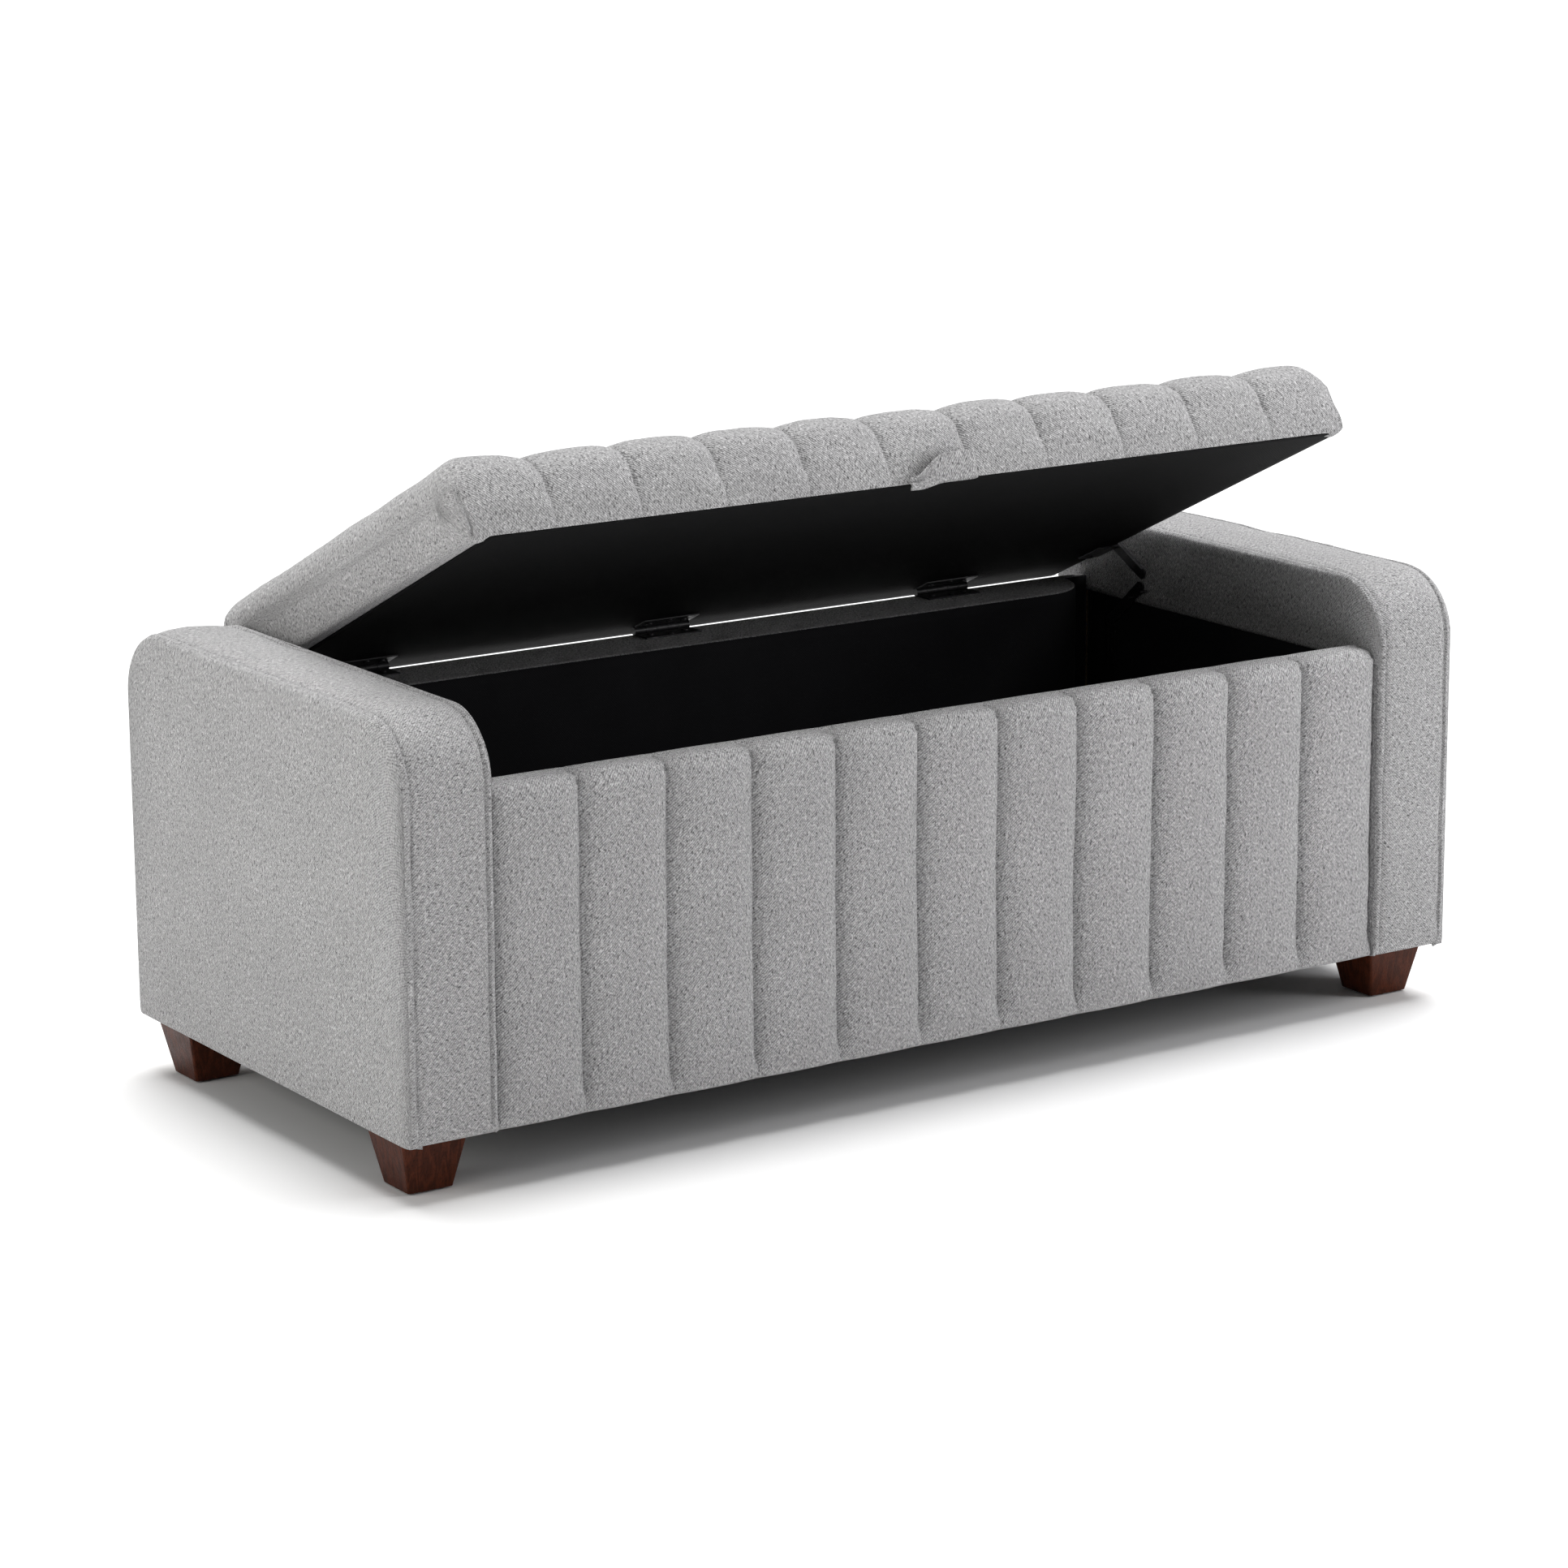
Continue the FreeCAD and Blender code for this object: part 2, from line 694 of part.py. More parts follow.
bolts = []
for side, arm in ((-1, "left"), (1, "right")):
    shanks = carcass_bolt_rods(
        f"bolt_shank_{arm}", side, "carcass_bolt_radius", BOLT_TIP_X, INNER_PANEL_BACK_X
    )
    heads = carcass_bolt_rods(
        f"bolt_head_{arm}",
        side,
        "bolt_head_radius",
        INNER_PANEL_BACK_X,
        f"{INNER_PANEL_BACK_X} + bolt_head_thickness",
    )
    for number, (shank, head) in enumerate(zip(shanks, heads)):
        bolts.append(fuse(f"bolt_{arm}_{number}", [shank, head]))
keep(group("bolt_group", bolts), "carcass_bolts")

# ---------------------------------------------------------------------------------------------
# Hinges: five-knuckle butt hinges; base leaves on the rail, lid leaves under the lid
# The lid's own pieces are modelled shut, from an origin on the hinge line, and turned open.
# ---------------------------------------------------------------------------------------------

KNUCKLES = 5
KNUCKLE_LENGTH = f"((hinge_length - {KNUCKLES - 1} * knuckle_gap) / {KNUCKLES})"


def hinge_middle(index):
    return f"({index} * hinge_spacing - hinge_row_shift)"


def leaf(name, index, own_knuckles, leaf_z, origin_y, origin_z):
    """A leaf plate, with a curl for each of its own knuckles and a bore for the pin."""
    middle = hinge_middle(index)
    pieces = [
        block(
            f"{name}_plate",
            (f"{middle} - hinge_length / 2", f"{middle} + hinge_length / 2"),
            (f"{origin_y} - leaf_depth", f"{origin_y} - knuckle_radius - knuckle_gap"),
            (f"{origin_z} + {leaf_z[0]}", f"{origin_z} + {leaf_z[1]}"),
        )
    ]
    for knuckle in own_knuckles:
        start = f"({middle} - hinge_length / 2 + {knuckle} * ({KNUCKLE_LENGTH} + knuckle_gap))"
        span = (start, f"{start} + {KNUCKLE_LENGTH}")
        pieces.append(
            block(
                f"{name}_curl_{knuckle}",
                span,
                (f"{origin_y} - knuckle_radius - knuckle_gap - cut_through", origin_y),
                (f"{origin_z} + {leaf_z[0]}", f"{origin_z} + {leaf_z[1]}"),
            )
        )
        pieces.append(
            rod(f"{name}_knuckle_{knuckle}", "X", "knuckle_radius", span, origin_y, origin_z)
        )
    bore = rod(
        f"{name}_bore",
        "X",
        "hinge_pin_radius + hinge_pin_clearance",
        (f"{middle} - hinge_length / 2 - cut_through", f"{middle} + hinge_length / 2 + cut_through"),
        origin_y,
        origin_z,
    )
    return fuse(f"{name}_outline", pieces), bore


def hinge_screw_places(index):
    """Three screws in each leaf: along X, and how far in front of the hinge line."""
    middle = hinge_middle(index)
    return [
        (f"{middle} - hinge_screw_spacing / 2", "leaf_depth / 2"),
        (middle, "leaf_depth * 3 / 4"),
        (f"{middle} + hinge_screw_spacing / 2", "leaf_depth / 2"),
    ]


def screw(name, axis, first, second, face, direction):
    """A pan-head wood screw driven along +axis (1) or -axis (-1) from a plate's face.

    first and second are its place along the other two axes, in X, Y, Z order.
    """
    outer = f"{face} - ({direction} * screw_head_thickness)"
    tip = f"{face} + ({direction} * screw_length)"
    head_span, shank_span = (outer, face), (face, tip)
    if direction < 0:
        head_span, shank_span = (face, outer), (tip, face)
    pieces = []
    for part, radius, span in (
        ("head", "screw_head_radius", head_span),
        ("shank", "screw_radius", shank_span),
    ):
        where = [first, second]
        where.insert("XYZ".index(axis), span)
        pieces.append(rod(f"{name}_{part}", axis, radius, *where))
    return fuse(name, pieces)


BASE_LEAF_Z = ("- knuckle_radius", "- knuckle_radius + leaf_thickness")
LID_LEAF_Z = ("knuckle_radius - leaf_thickness", "knuckle_radius")
SCREW_HOLE = "screw_radius + bolt_hole_clearance"
LEAF_HOLE_Z = ("rim_height - cut_through", "rim_height + leaf_thickness + cut_through")
LID_LEAF_HOLE_Z = ("0", "knuckle_radius + cut_through")

pins = []
base_screws = []
lid_screws = []
for index, spot in ((-1, "left"), (0, "centre"), (1, "right")):
    outline, bore = leaf(f"base_leaf_{spot}", index, (0, 2, 4), BASE_LEAF_Z, HINGE_Y, HINGE_Z)
    base_cuts = [bore]
    lid_outline, lid_bore = leaf(f"lid_leaf_{spot}", index, (1, 3), LID_LEAF_Z, "0", "0")
    lid_cuts = [lid_bore]
    for number, (x, forward) in enumerate(hinge_screw_places(index)):
        name = f"hinge_{spot}_{number}"
        base_y = f"{HINGE_Y} - {forward}"
        head_face = "rim_height + leaf_thickness"
        base_screws.append(screw(name + "_base", "Z", x, base_y, head_face, -1))
        base_cuts.append(rod(name + "_leaf", "Z", SCREW_HOLE, x, base_y, LEAF_HOLE_Z))
        lid_face = "knuckle_radius - leaf_thickness"
        lid_y = f"- ({forward})"
        lid_screws.append(screw(name + "_lid", "Z", x, lid_y, lid_face, 1))
        lid_cuts.append(rod(name + "_lidleaf", "Z", SCREW_HOLE, x, lid_y, LID_LEAF_HOLE_Z))
    keep(cut(f"base_leaf_{spot}_cut", outline, base_cuts), f"hinge_base_leaf_{spot}")
    keep(cut(f"lid_leaf_{spot}_cut", lid_outline, lid_cuts), f"hinge_lid_leaf_{spot}", on_lid=True)
    middle = hinge_middle(index)
    pins.append(
        rod(
            f"pin_{spot}",
            "X",
            "hinge_pin_radius",
            (f"{middle} - hinge_length / 2", f"{middle} + hinge_length / 2"),
            HINGE_Y,
            HINGE_Z,
        )
    )
keep(group("pin_group", pins), "hinge_pins")
keep(group("base_screw_group", base_screws), "hinge_base_screws")
keep(group("lid_screw_group", lid_screws), "hinge_lid_screws", on_lid=True)

# ---------------------------------------------------------------------------------------------
# Lid: board, foam, channelled cover wrapped under the board, and a dust cover
# ---------------------------------------------------------------------------------------------

LID_SIDE_X = f"({ARM_INNER_X} - lid_side_gap)"
LID_FRONT_Y = f"(- bench_depth / 2 - {HINGE_Y})"
LID_REAR_Y = "lid_rear_overhang"
LID_BOTTOM_Z = "knuckle_radius"
LID_TOP_Z = "(knuckle_radius + lid_thickness)"
LID_BOARD_Z = "(knuckle_radius + lid_wrap_thickness)"
FOAM_Z = f"({LID_BOARD_Z} + lid_board_thickness)"


def lid_form(name, margin, z, top_radius=None):
    """A block that sits a margin inside the lid's outer faces, with its upright corners rounded."""
    uprights = [("left", "front"), ("right", "front"), ("left", "back"), ("right", "back")]
    roundings = [(f"lid_side_radius - {margin}", uprights)]
    if top_radius:
        roundings.insert(0, (top_radius, [("top", "front"), ("top", "back")]))
    return rounded_block(
        name,
        (f"- {LID_SIDE_X} + {margin}", f"{LID_SIDE_X} - {margin}"),
        (f"{LID_FRONT_Y} + {margin}", f"{LID_REAR_Y} - {margin}"),
        z,
        roundings,
    )


def foam_form(name):
    top = f"{LID_TOP_Z} - lid_cover_thickness"
    return lid_form(name, "lid_cover_thickness", (FOAM_Z, top), "foam_radius")


def board_form(name):
    return lid_form(name, "lid_cover_thickness", (LID_BOARD_Z, FOAM_Z))


dust_x = (f"- {LID_SIDE_X} + lid_wrap_side", f"{LID_SIDE_X} - lid_wrap_side")
dust_y = (f"{LID_FRONT_Y} + lid_wrap_front", f"{LID_REAR_Y} - lid_wrap_front")
cover_blank = lid_form("lid_cover_blank", "0", (LID_BOTTOM_Z, LID_TOP_Z), "lid_corner_radius")
window_z = (f"{LID_BOTTOM_Z} - cut_through", f"{LID_BOARD_Z} + cut_through")
window = block("lid_window", dust_x, dust_y, window_z)
hollow = [foam_form("foam_hollow"), board_form("board_hollow"), window]
keep(cut("lid_cover_shell", cover_blank, hollow), "lid_cover", on_lid=True)
keep(foam_form("lid_foam_block"), "lid_foam", on_lid=True)
keep(board_form("lid_board_block"), "lid_board", on_lid=True)
dust_sheet = block("lid_dust_sheet", dust_x, dust_y, (LID_BOTTOM_Z, LID_BOARD_Z))
keep(group("lid_dust_carrier", [dust_sheet]), "lid_dust_cover", on_lid=True)

# ---------------------------------------------------------------------------------------------
# Pull tab at the middle of the lid's front edge
# ---------------------------------------------------------------------------------------------

tab = rounded_block(
    "pull_tab_loop",
    ("tab_shift - tab_length / 2", "tab_shift + tab_length / 2"),
    (f"{LID_FRONT_Y} - tab_gap - tab_thickness", f"{LID_FRONT_Y} - tab_gap"),
    (LID_BOTTOM_Z, f"{LID_BOTTOM_Z} + tab_width"),
    [("tab_edge_radius", [("left", "front"), ("right", "front")])],
)
keep(tab, "pull_tab", on_lid=True)

# ---------------------------------------------------------------------------------------------
# Lid stays: a straight lower arm on the wall and a bent upper arm on the lid, each side.
# The four pivots make a parallelogram with the hinge line, so the upper arm only shifts.
# ---------------------------------------------------------------------------------------------

TURN = "lid_angle * 1deg"
PIVOT_DY = f"(- stay_reach * cos({TURN}) + stay_rise * sin({TURN}))"
PIVOT_DZ = f"(stay_reach * sin({TURN}) + stay_rise * cos({TURN}))"
LID_PIVOT_Y = f"({HINGE_Y} + {PIVOT_DY})"
LID_PIVOT_Z = f"({HINGE_Z} + {PIVOT_DZ})"
BASE_PIVOT_Y = f"({HINGE_Y} - stay_base_forward)"
BASE_PIVOT_Z = f"({HINGE_Z} - stay_base_drop)"
ELBOW_Y = f"({BASE_PIVOT_Y} + {PIVOT_DY})"
ELBOW_Z = f"({BASE_PIVOT_Z} + {PIVOT_DZ})"
BEND_Y = f"({LID_PIVOT_Y} - stay_bend_forward)"
BEND_Z = f"({LID_PIVOT_Z} - stay_bend_drop)"
BEND_RUN = "sqrt(stay_bend_forward ^ 2 + stay_bend_drop ^ 2)"
RIB_SHARE = f"(1 - stay_rib_clear / {BEND_RUN})"
RIB_END = (
    f"{BEND_Y} + stay_bend_forward * {RIB_SHARE}",
    f"{BEND_Z} + stay_bend_drop * {RIB_SHARE}",
)
LEAN = "stay_elbow_lean * 1deg"
PLATE_TOP = (
    f"{ELBOW_Y} + stay_elbow_rise * sin({LEAN})",
    f"{ELBOW_Z} + stay_elbow_rise * cos({LEAN})",
)
PLATE_LOW = (
    f"{ELBOW_Y} - stay_elbow_fall * sin({LEAN})",
    f"{ELBOW_Z} - stay_elbow_fall * cos({LEAN})",
)

# planes along X, from the lining inwards: base plate, lower arm, upper arm, lid bracket
PLATE_X = (f"{INNER_PANEL_X} - lining_thickness - stay_thickness", f"{INNER_PANEL_X} - lining_thickness")
LOWER_ARM_X = (f"{PLATE_X[0]} - stay_gap - stay_thickness", f"{PLATE_X[0]} - stay_gap")
UPPER_ARM_X = (f"{LOWER_ARM_X[0]} - stay_gap - stay_thickness", f"{LOWER_ARM_X[0]} - stay_gap")
BRACKET_X = (f"{LID_SIDE_X} + stay_gap", f"{LID_SIDE_X} + stay_gap + stay_thickness")


def bar(name, x, start, end, low, high):
    """A bar between two points in the side view; low and high are its edges beside their line."""
    rise, run = f"({end[1]} - {start[1]})", f"({end[0]} - {start[0]})"
    slope = f"atan2({rise} ; {run})"
    piece = doc.addObject("Part::Box", name)
    piece.setExpression("Length", size(f"({x[1]}) - ({x[0]})"))
    piece.setExpression("Width", size(f"sqrt({rise} ^ 2 + {run} ^ 2)"))
    piece.setExpression("Height", size(f"({high}) - ({low})"))
    piece.Placement.Rotation = FreeCAD.Rotation(FreeCAD.Vector(1, 0, 0), 1)
    piece.setExpression("Placement.Rotation.Angle", size(slope))
    y = f"{start[0]} - ({low}) * sin({slope})"
    z = f"{start[1]} + ({low}) * cos({slope})"
    return place(piece, x[0], y, z)


def strip(name, x, start, end):
    """A flat strip of steel with round ends between two points, as a list of pieces."""
    half = "stay_strip_width / 2"
    ends = [rod(f"{name}_end_{n}", "X", half, x, *point) for n, point in enumerate((start, end))]
    return [bar(name + "_bar", x, start, end, "- " + half, half)] + ends


def mirrored(side, span):
    """Limits along X of the left (-1) or right (+1) copy of a piece."""
    return arm_span(side, *span)


def rivet(name, side, y, z, shank, heads):
    """A rivet along X with a head at each end: shank and heads are limits from the middle outwards."""
    pieces = [rod(name + "_shank", "X", "stay_pivot_radius", mirrored(side, shank), y, z)]
    for number, head in enumerate(heads):
        pieces.append(
            rod(f"{name}_head_{number}", "X", "stay_rivet_head_radius", mirrored(side, head), y, z)
        )
    return fuse(name, pieces)


def plain_hole(name, side, x, y, z, radius):
    return rod(name, "X", radius, mirrored(side, (f"{x[0]} - cut_through", f"{x[1]} + cut_through")), y, z)


PIVOT_HOLE = "stay_pivot_radius + stay_pivot_clearance"
BASE_PIVOT = (BASE_PIVOT_Y, BASE_PIVOT_Z)
ELBOW = (ELBOW_Y, ELBOW_Z)
BEND = (BEND_Y, BEND_Z)
LID_PIVOT = (LID_PIVOT_Y, LID_PIVOT_Z)
PLATE_SCREW_DROPS = ("stay_plate_length / 3", "stay_plate_length * 2 / 3")

base_plates = []
base_rivets = []
lid_rivets = []
stay_base_screws = []
stay_lid_screws = []
for side, arm in ((-1, "left"), (1, "right")):
    # base plate, hanging below its pivot on the lining
    plate = block(
        f"stay_plate_{arm}",
        mirrored(side, PLATE_X),
        (f"{BASE_PIVOT_Y} - stay_strip_width / 2", f"{BASE_PIVOT_Y} + stay_strip_width / 2"),
        (f"{BASE_PIVOT_Z} - stay_plate_length", f"{BASE_PIVOT_Z} + stay_strip_width / 2"),
    )
    plate_holes = [plain_hole(f"plate_pivot_{arm}", side, PLATE_X, *BASE_PIVOT, PIVOT_HOLE)]
    for number, drop in enumerate(PLATE_SCREW_DROPS):
        spot = (BASE_PIVOT_Y, f"{BASE_PIVOT_Z} - {drop}")
        name = f"plate_{arm}_{number}"
        plate_holes.append(plain_hole(name + "_hole", side, PLATE_X, *spot, SCREW_HOLE))
        face = f"{side} * ({PLATE_X[0]})"
        stay_base_screws.append(screw(name + "_screw", "X", *spot, face, side))
    base_plates.append(cut(f"stay_plate_cut_{arm}", plate, plate_holes))

    # lower arm, from the base pivot to the elbow
    lower = fuse(
        f"lower_arm_form_{arm}",
        strip(f"lower_{arm}", mirrored(side, LOWER_ARM_X), BASE_PIVOT, ELBOW),
    )
    lower_holes = [
        plain_hole(f"lower_base_hole_{arm}", side, LOWER_ARM_X, *BASE_PIVOT, PIVOT_HOLE),
        plain_hole(f"lower_elbow_hole_{arm}", side, LOWER_ARM_X, *ELBOW, PIVOT_HOLE),
    ]
    keep(cut(f"lower_arm_cut_{arm}", lower, lower_holes), f"stay_lower_arm_{arm}")

    # upper arm: a strip with a turned upper edge, widened at the elbow into a plate with flanges
    pieces = strip(f"upper_{arm}", mirrored(side, UPPER_ARM_X), BEND, LID_PIVOT)
    rib_x = (f"{UPPER_ARM_X[0]} - stay_rib_width", UPPER_ARM_X[1])
    edge = "stay_strip_width / 2"
    rib = (f"{edge} - stay_thickness", edge)
    pieces.append(bar(f"upper_rib_{arm}", mirrored(side, rib_x), BEND, RIB_END, *rib))
    edge = "stay_elbow_width / 2"
    plate_x = mirrored(side, UPPER_ARM_X)
    pieces.append(bar(f"elbow_plate_{arm}", plate_x, PLATE_LOW, PLATE_TOP, f"- {edge}", edge))
    flange_x = mirrored(side, (f"{UPPER_ARM_X[0]} - stay_flange_width", UPPER_ARM_X[1]))
    for number, flange in enumerate(
        ((f"- {edge}", f"- {edge} + stay_thickness"), (f"{edge} - stay_thickness", edge))
    ):
        pieces.append(
            bar(f"elbow_flange_{arm}_{number}", flange_x, PLATE_LOW, PLATE_TOP, *flange)
        )
    upper = fuse(f"upper_arm_form_{arm}", pieces)
    open_hole = "stay_pivot_radius + stay_open_pivot_clearance"
    upper_holes = [
        plain_hole(f"upper_lid_hole_{arm}", side, UPPER_ARM_X, *LID_PIVOT, PIVOT_HOLE),
        plain_hole(f"upper_elbow_hole_{arm}", side, UPPER_ARM_X, *ELBOW, open_hole),
    ]
    keep(cut(f"upper_arm_cut_{arm}", upper, upper_holes), f"stay_upper_arm_{arm}")

    # lid bracket: a plate screwed under the lid's edge, turned up beside the lid to the pivot
    under = block(
        f"lid_plate_{arm}",
        mirrored(side, (f"{LID_SIDE_X} - stay_lid_plate_width", BRACKET_X[1])),
        (
            "- stay_reach - stay_lid_plate_length / 2",
            "- stay_reach + stay_lid_plate_length / 2",
        ),
        ("knuckle_radius - stay_thickness", "knuckle_radius"),
    )
    upright = block(
        f"lid_upright_{arm}",
        mirrored(side, BRACKET_X),
        ("- stay_reach - stay_strip_width / 2", "- stay_reach + stay_strip_width / 2"),
        ("knuckle_radius - stay_thickness", "stay_rise + stay_strip_width / 2"),
    )
    bracket = fuse(f"lid_bracket_form_{arm}", [under, upright])
    bracket_holes = [
        rod(
            f"bracket_pivot_{arm}",
            "X",
            PIVOT_HOLE,
            mirrored(side, (f"{BRACKET_X[0]} - cut_through", f"{BRACKET_X[1]} + cut_through")),
            "- stay_reach",
            "stay_rise",
        )
    ]
    screw_x = f"{side} * ({LID_SIDE_X} - stay_lid_plate_width / 2)"
    for number, sign in enumerate(("-", "+")):
        screw_y = f"- stay_reach {sign} stay_screw_spacing / 2"
        name = f"bracket_{arm}_{number}"
        bracket_holes.append(
            rod(name + "_hole", "Z", SCREW_HOLE, screw_x, screw_y, LID_LEAF_HOLE_Z)
        )
        head_face = "knuckle_radius - stay_thickness"
        stay_lid_screws.append(screw(name + "_screw", "Z", screw_x, screw_y, head_face, 1))
    keep(
        cut(f"lid_bracket_cut_{arm}", bracket, bracket_holes),
        f"stay_lid_bracket_{arm}",
        on_lid=True,
    )

    # rivets: each is fixed in the piece that it is named after
    head = "stay_rivet_head_thickness"
    base_rivets.append(
        rivet(
            f"base_rivet_{arm}",
            side,
            *BASE_PIVOT,
            (f"{LOWER_ARM_X[0]} - stay_gap", PLATE_X[1]),
            [(f"{LOWER_ARM_X[0]} - stay_gap - {head}", f"{LOWER_ARM_X[0]} - stay_gap")],
        )
    )
    elbow_rivet = rivet(
        f"elbow_rivet_form_{arm}",
        side,
        *ELBOW,
        (f"{UPPER_ARM_X[0]} - stay_gap", LOWER_ARM_X[1]),
        [(f"{UPPER_ARM_X[0]} - stay_gap - {head}", f"{UPPER_ARM_X[0]} - stay_gap")],
    )
    keep(elbow_rivet, f"stay_elbow_rivet_{arm}")
    lid_rivets.append(
        rivet(
            f"lid_rivet_{arm}",
            side,
            "- stay_reach",
            "stay_rise",
            (BRACKET_X[0], f"{UPPER_ARM_X[1]} + stay_gap"),
            [
                (BRACKET_X[1], f"{UPPER_ARM_X[0]} - stay_gap"),
                (f"{UPPER_ARM_X[1]} + stay_gap", f"{UPPER_ARM_X[1]} + stay_gap + {head}"),
            ],
        )
    )
keep(group("base_plate_group", base_plates), "stay_base_plates")
keep(group("base_rivet_group", base_rivets), "stay_base_rivets")
keep(group("lid_rivet_group", lid_rivets), "stay_lid_rivets", on_lid=True)
keep(group("stay_base_screw_group", stay_base_screws), "stay_base_screws")
keep(group("stay_lid_screw_group", stay_lid_screws), "stay_lid_screws", on_lid=True)

# ---------------------------------------------------------------------------------------------
# Check every feature, then write one file for each sub-part
# ---------------------------------------------------------------------------------------------

doc.recompute()
failed = [item.Name for item in doc.Objects if {"Invalid", "Error"} & set(item.State)]
if failed:
    raise RuntimeError(f"features that failed: {failed}")
for node in nodes:
    if node.Shape.isNull() or not node.Shape.isValid() or not node.Shape.Solids:
        raise RuntimeError(f"{node.Label} has no valid solid")
for node in nodes:
    node.Shape.exportStep(f"parts/{node.Label}.step")
print(len(nodes), "sub-parts written")
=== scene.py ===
import json
import math

import bmesh
import bpy
import numpy as np
from mathutils import Matrix, Vector


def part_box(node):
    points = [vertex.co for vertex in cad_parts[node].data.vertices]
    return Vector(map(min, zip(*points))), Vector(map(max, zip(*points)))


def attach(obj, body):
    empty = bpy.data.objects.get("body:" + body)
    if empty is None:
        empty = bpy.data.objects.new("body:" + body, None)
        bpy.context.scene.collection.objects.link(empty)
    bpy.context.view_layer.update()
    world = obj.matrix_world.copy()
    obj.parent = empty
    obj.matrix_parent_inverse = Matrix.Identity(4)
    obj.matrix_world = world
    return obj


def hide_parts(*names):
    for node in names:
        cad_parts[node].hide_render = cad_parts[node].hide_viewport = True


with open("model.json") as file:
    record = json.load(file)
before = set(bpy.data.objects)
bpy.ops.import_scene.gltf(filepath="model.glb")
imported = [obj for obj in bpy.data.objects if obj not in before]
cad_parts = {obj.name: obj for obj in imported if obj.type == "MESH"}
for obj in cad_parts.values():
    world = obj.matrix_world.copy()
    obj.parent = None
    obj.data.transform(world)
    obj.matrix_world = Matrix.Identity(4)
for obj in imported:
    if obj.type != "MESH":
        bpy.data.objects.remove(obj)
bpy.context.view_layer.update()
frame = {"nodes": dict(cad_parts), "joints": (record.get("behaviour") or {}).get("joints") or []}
nodes = frame["nodes"]

# ----------------------------------------
# Studio
# A white floor under a broad ceiling light, softer lights at the left, at the right front and low
# in front, and a long lens at standing height, in front of the bench and to its left.
# ----------------------------------------

scene = bpy.context.scene
scene.view_settings.view_transform = "Standard"

view_azimuth, view_elevation, view_roll = (math.radians(a) for a in (-33.55, 13.52, -0.36))
view_distance = 5.0603
view_target = Vector((-0.0269, 0.0, 0.2757))
to_camera = Vector(
    (
        math.sin(view_azimuth) * math.cos(view_elevation),
        -math.cos(view_azimuth) * math.cos(view_elevation),
        math.sin(view_elevation),
    )
)
camera_data = bpy.data.cameras.new("long_lens")
camera_data.lens = 109.89
camera_data.sensor_width = 36.0
camera_data.clip_end = 60.0
camera = bpy.data.objects.new("long_lens", camera_data)
scene.collection.objects.link(camera)
turn = (-to_camera).to_track_quat("-Z", "Y").to_matrix() @ Matrix.Rotation(view_roll, 3, "Z")
camera.matrix_world = Matrix.LocRotScale(view_target + to_camera * view_distance, turn, None)
scene.camera = camera


def soft_light(name, place, aim, size, power, colour):
    """A square light at place, facing aim."""
    data = bpy.data.lights.new(name, "AREA")
    data.size = size
    data.energy = power
    data.color = colour
    light = bpy.data.objects.new(name, data)
    scene.collection.objects.link(light)
    facing = (Vector(aim) - Vector(place)).to_track_quat("-Z", "Y")
    light.matrix_world = Matrix.LocRotScale(Vector(place), facing, None)


soft_light("left_softbox", (-3.0, 0.1, 1.2), (-0.4, 0.0, 0.25), 1.6, 26.0, (1.0, 0.99, 0.955))
soft_light("right_softbox", (1.9, -1.7, 1.9), (0.6, 0.0, 0.4), 1.0, 16.0, (0.985, 0.985, 1.0))
soft_light("front_softbox", (2.4, -2.1, 0.95), (0.4, 0.0, 0.4), 0.9, 22.0, (0.985, 0.98, 1.0))

ceiling_data = bpy.data.lights.new("ceiling_softbox", "SUN")
ceiling_data.energy = 4.4
ceiling_data.angle = math.radians(50.0)
ceiling_light = bpy.data.objects.new("ceiling_softbox", ceiling_data)
scene.collection.objects.link(ceiling_light)
overhead = Vector((0.18, 0.22, 1.0)).to_track_quat("Z", "Y").to_matrix()
ceiling_light.matrix_world = Matrix.LocRotScale(Vector((0.0, 0.0, 4.0)), overhead, None)

sky = bpy.data.worlds.new("pale_studio")
sky.use_nodes = True
sky.node_tree.nodes["Background"].inputs["Color"].default_value = (1.0, 1.0, 1.0, 1.0)
sky.node_tree.nodes["Background"].inputs["Strength"].default_value = 0.22
scene.world = sky

floor_half = 30.0
floor_mesh = bpy.data.meshes.new("studio_floor")
floor_corners = [(-1, -1), (1, -1), (1, 1), (-1, 1)]
floor_mesh.from_pydata([(floor_half * x, floor_half * y, 0.0) for x, y in floor_corners], [], [(0, 1, 2, 3)])
studio_floor = bpy.data.objects.new("studio_floor", floor_mesh)
scene.collection.objects.link(studio_floor)
floor_paint = bpy.data.materials.new("white_floor_paint")
floor_paint.use_nodes = True
paint = floor_paint.node_tree
paint_shader = paint.nodes["Principled BSDF"]
roller_marks = paint.nodes.new("ShaderNodeTexNoise")
roller_marks.inputs["Scale"].default_value = 0.8
paint_tones = paint.nodes.new("ShaderNodeMix")
paint_tones.data_type = "RGBA"
paint_tones.inputs[6].default_value = (0.84, 0.84, 0.84, 1)
paint_tones.inputs[7].default_value = (0.88, 0.88, 0.88, 1)
paint.links.new(roller_marks.outputs["Fac"], paint_tones.inputs[0])
paint.links.new(paint_tones.outputs[2], paint_shader.inputs["Base Color"])
paint_shader.inputs["Roughness"].default_value = 0.9
paint_shader.inputs["Specular IOR Level"].default_value = 0.0
floor_mesh.materials.append(floor_paint)


# ----------------------------------------
# Feet
# Four tapered blocks of dark-stained hardwood under a satin lacquer, turned on to a hanger bolt
# through the dust cover. A nylon glide is nailed under each.
# ----------------------------------------


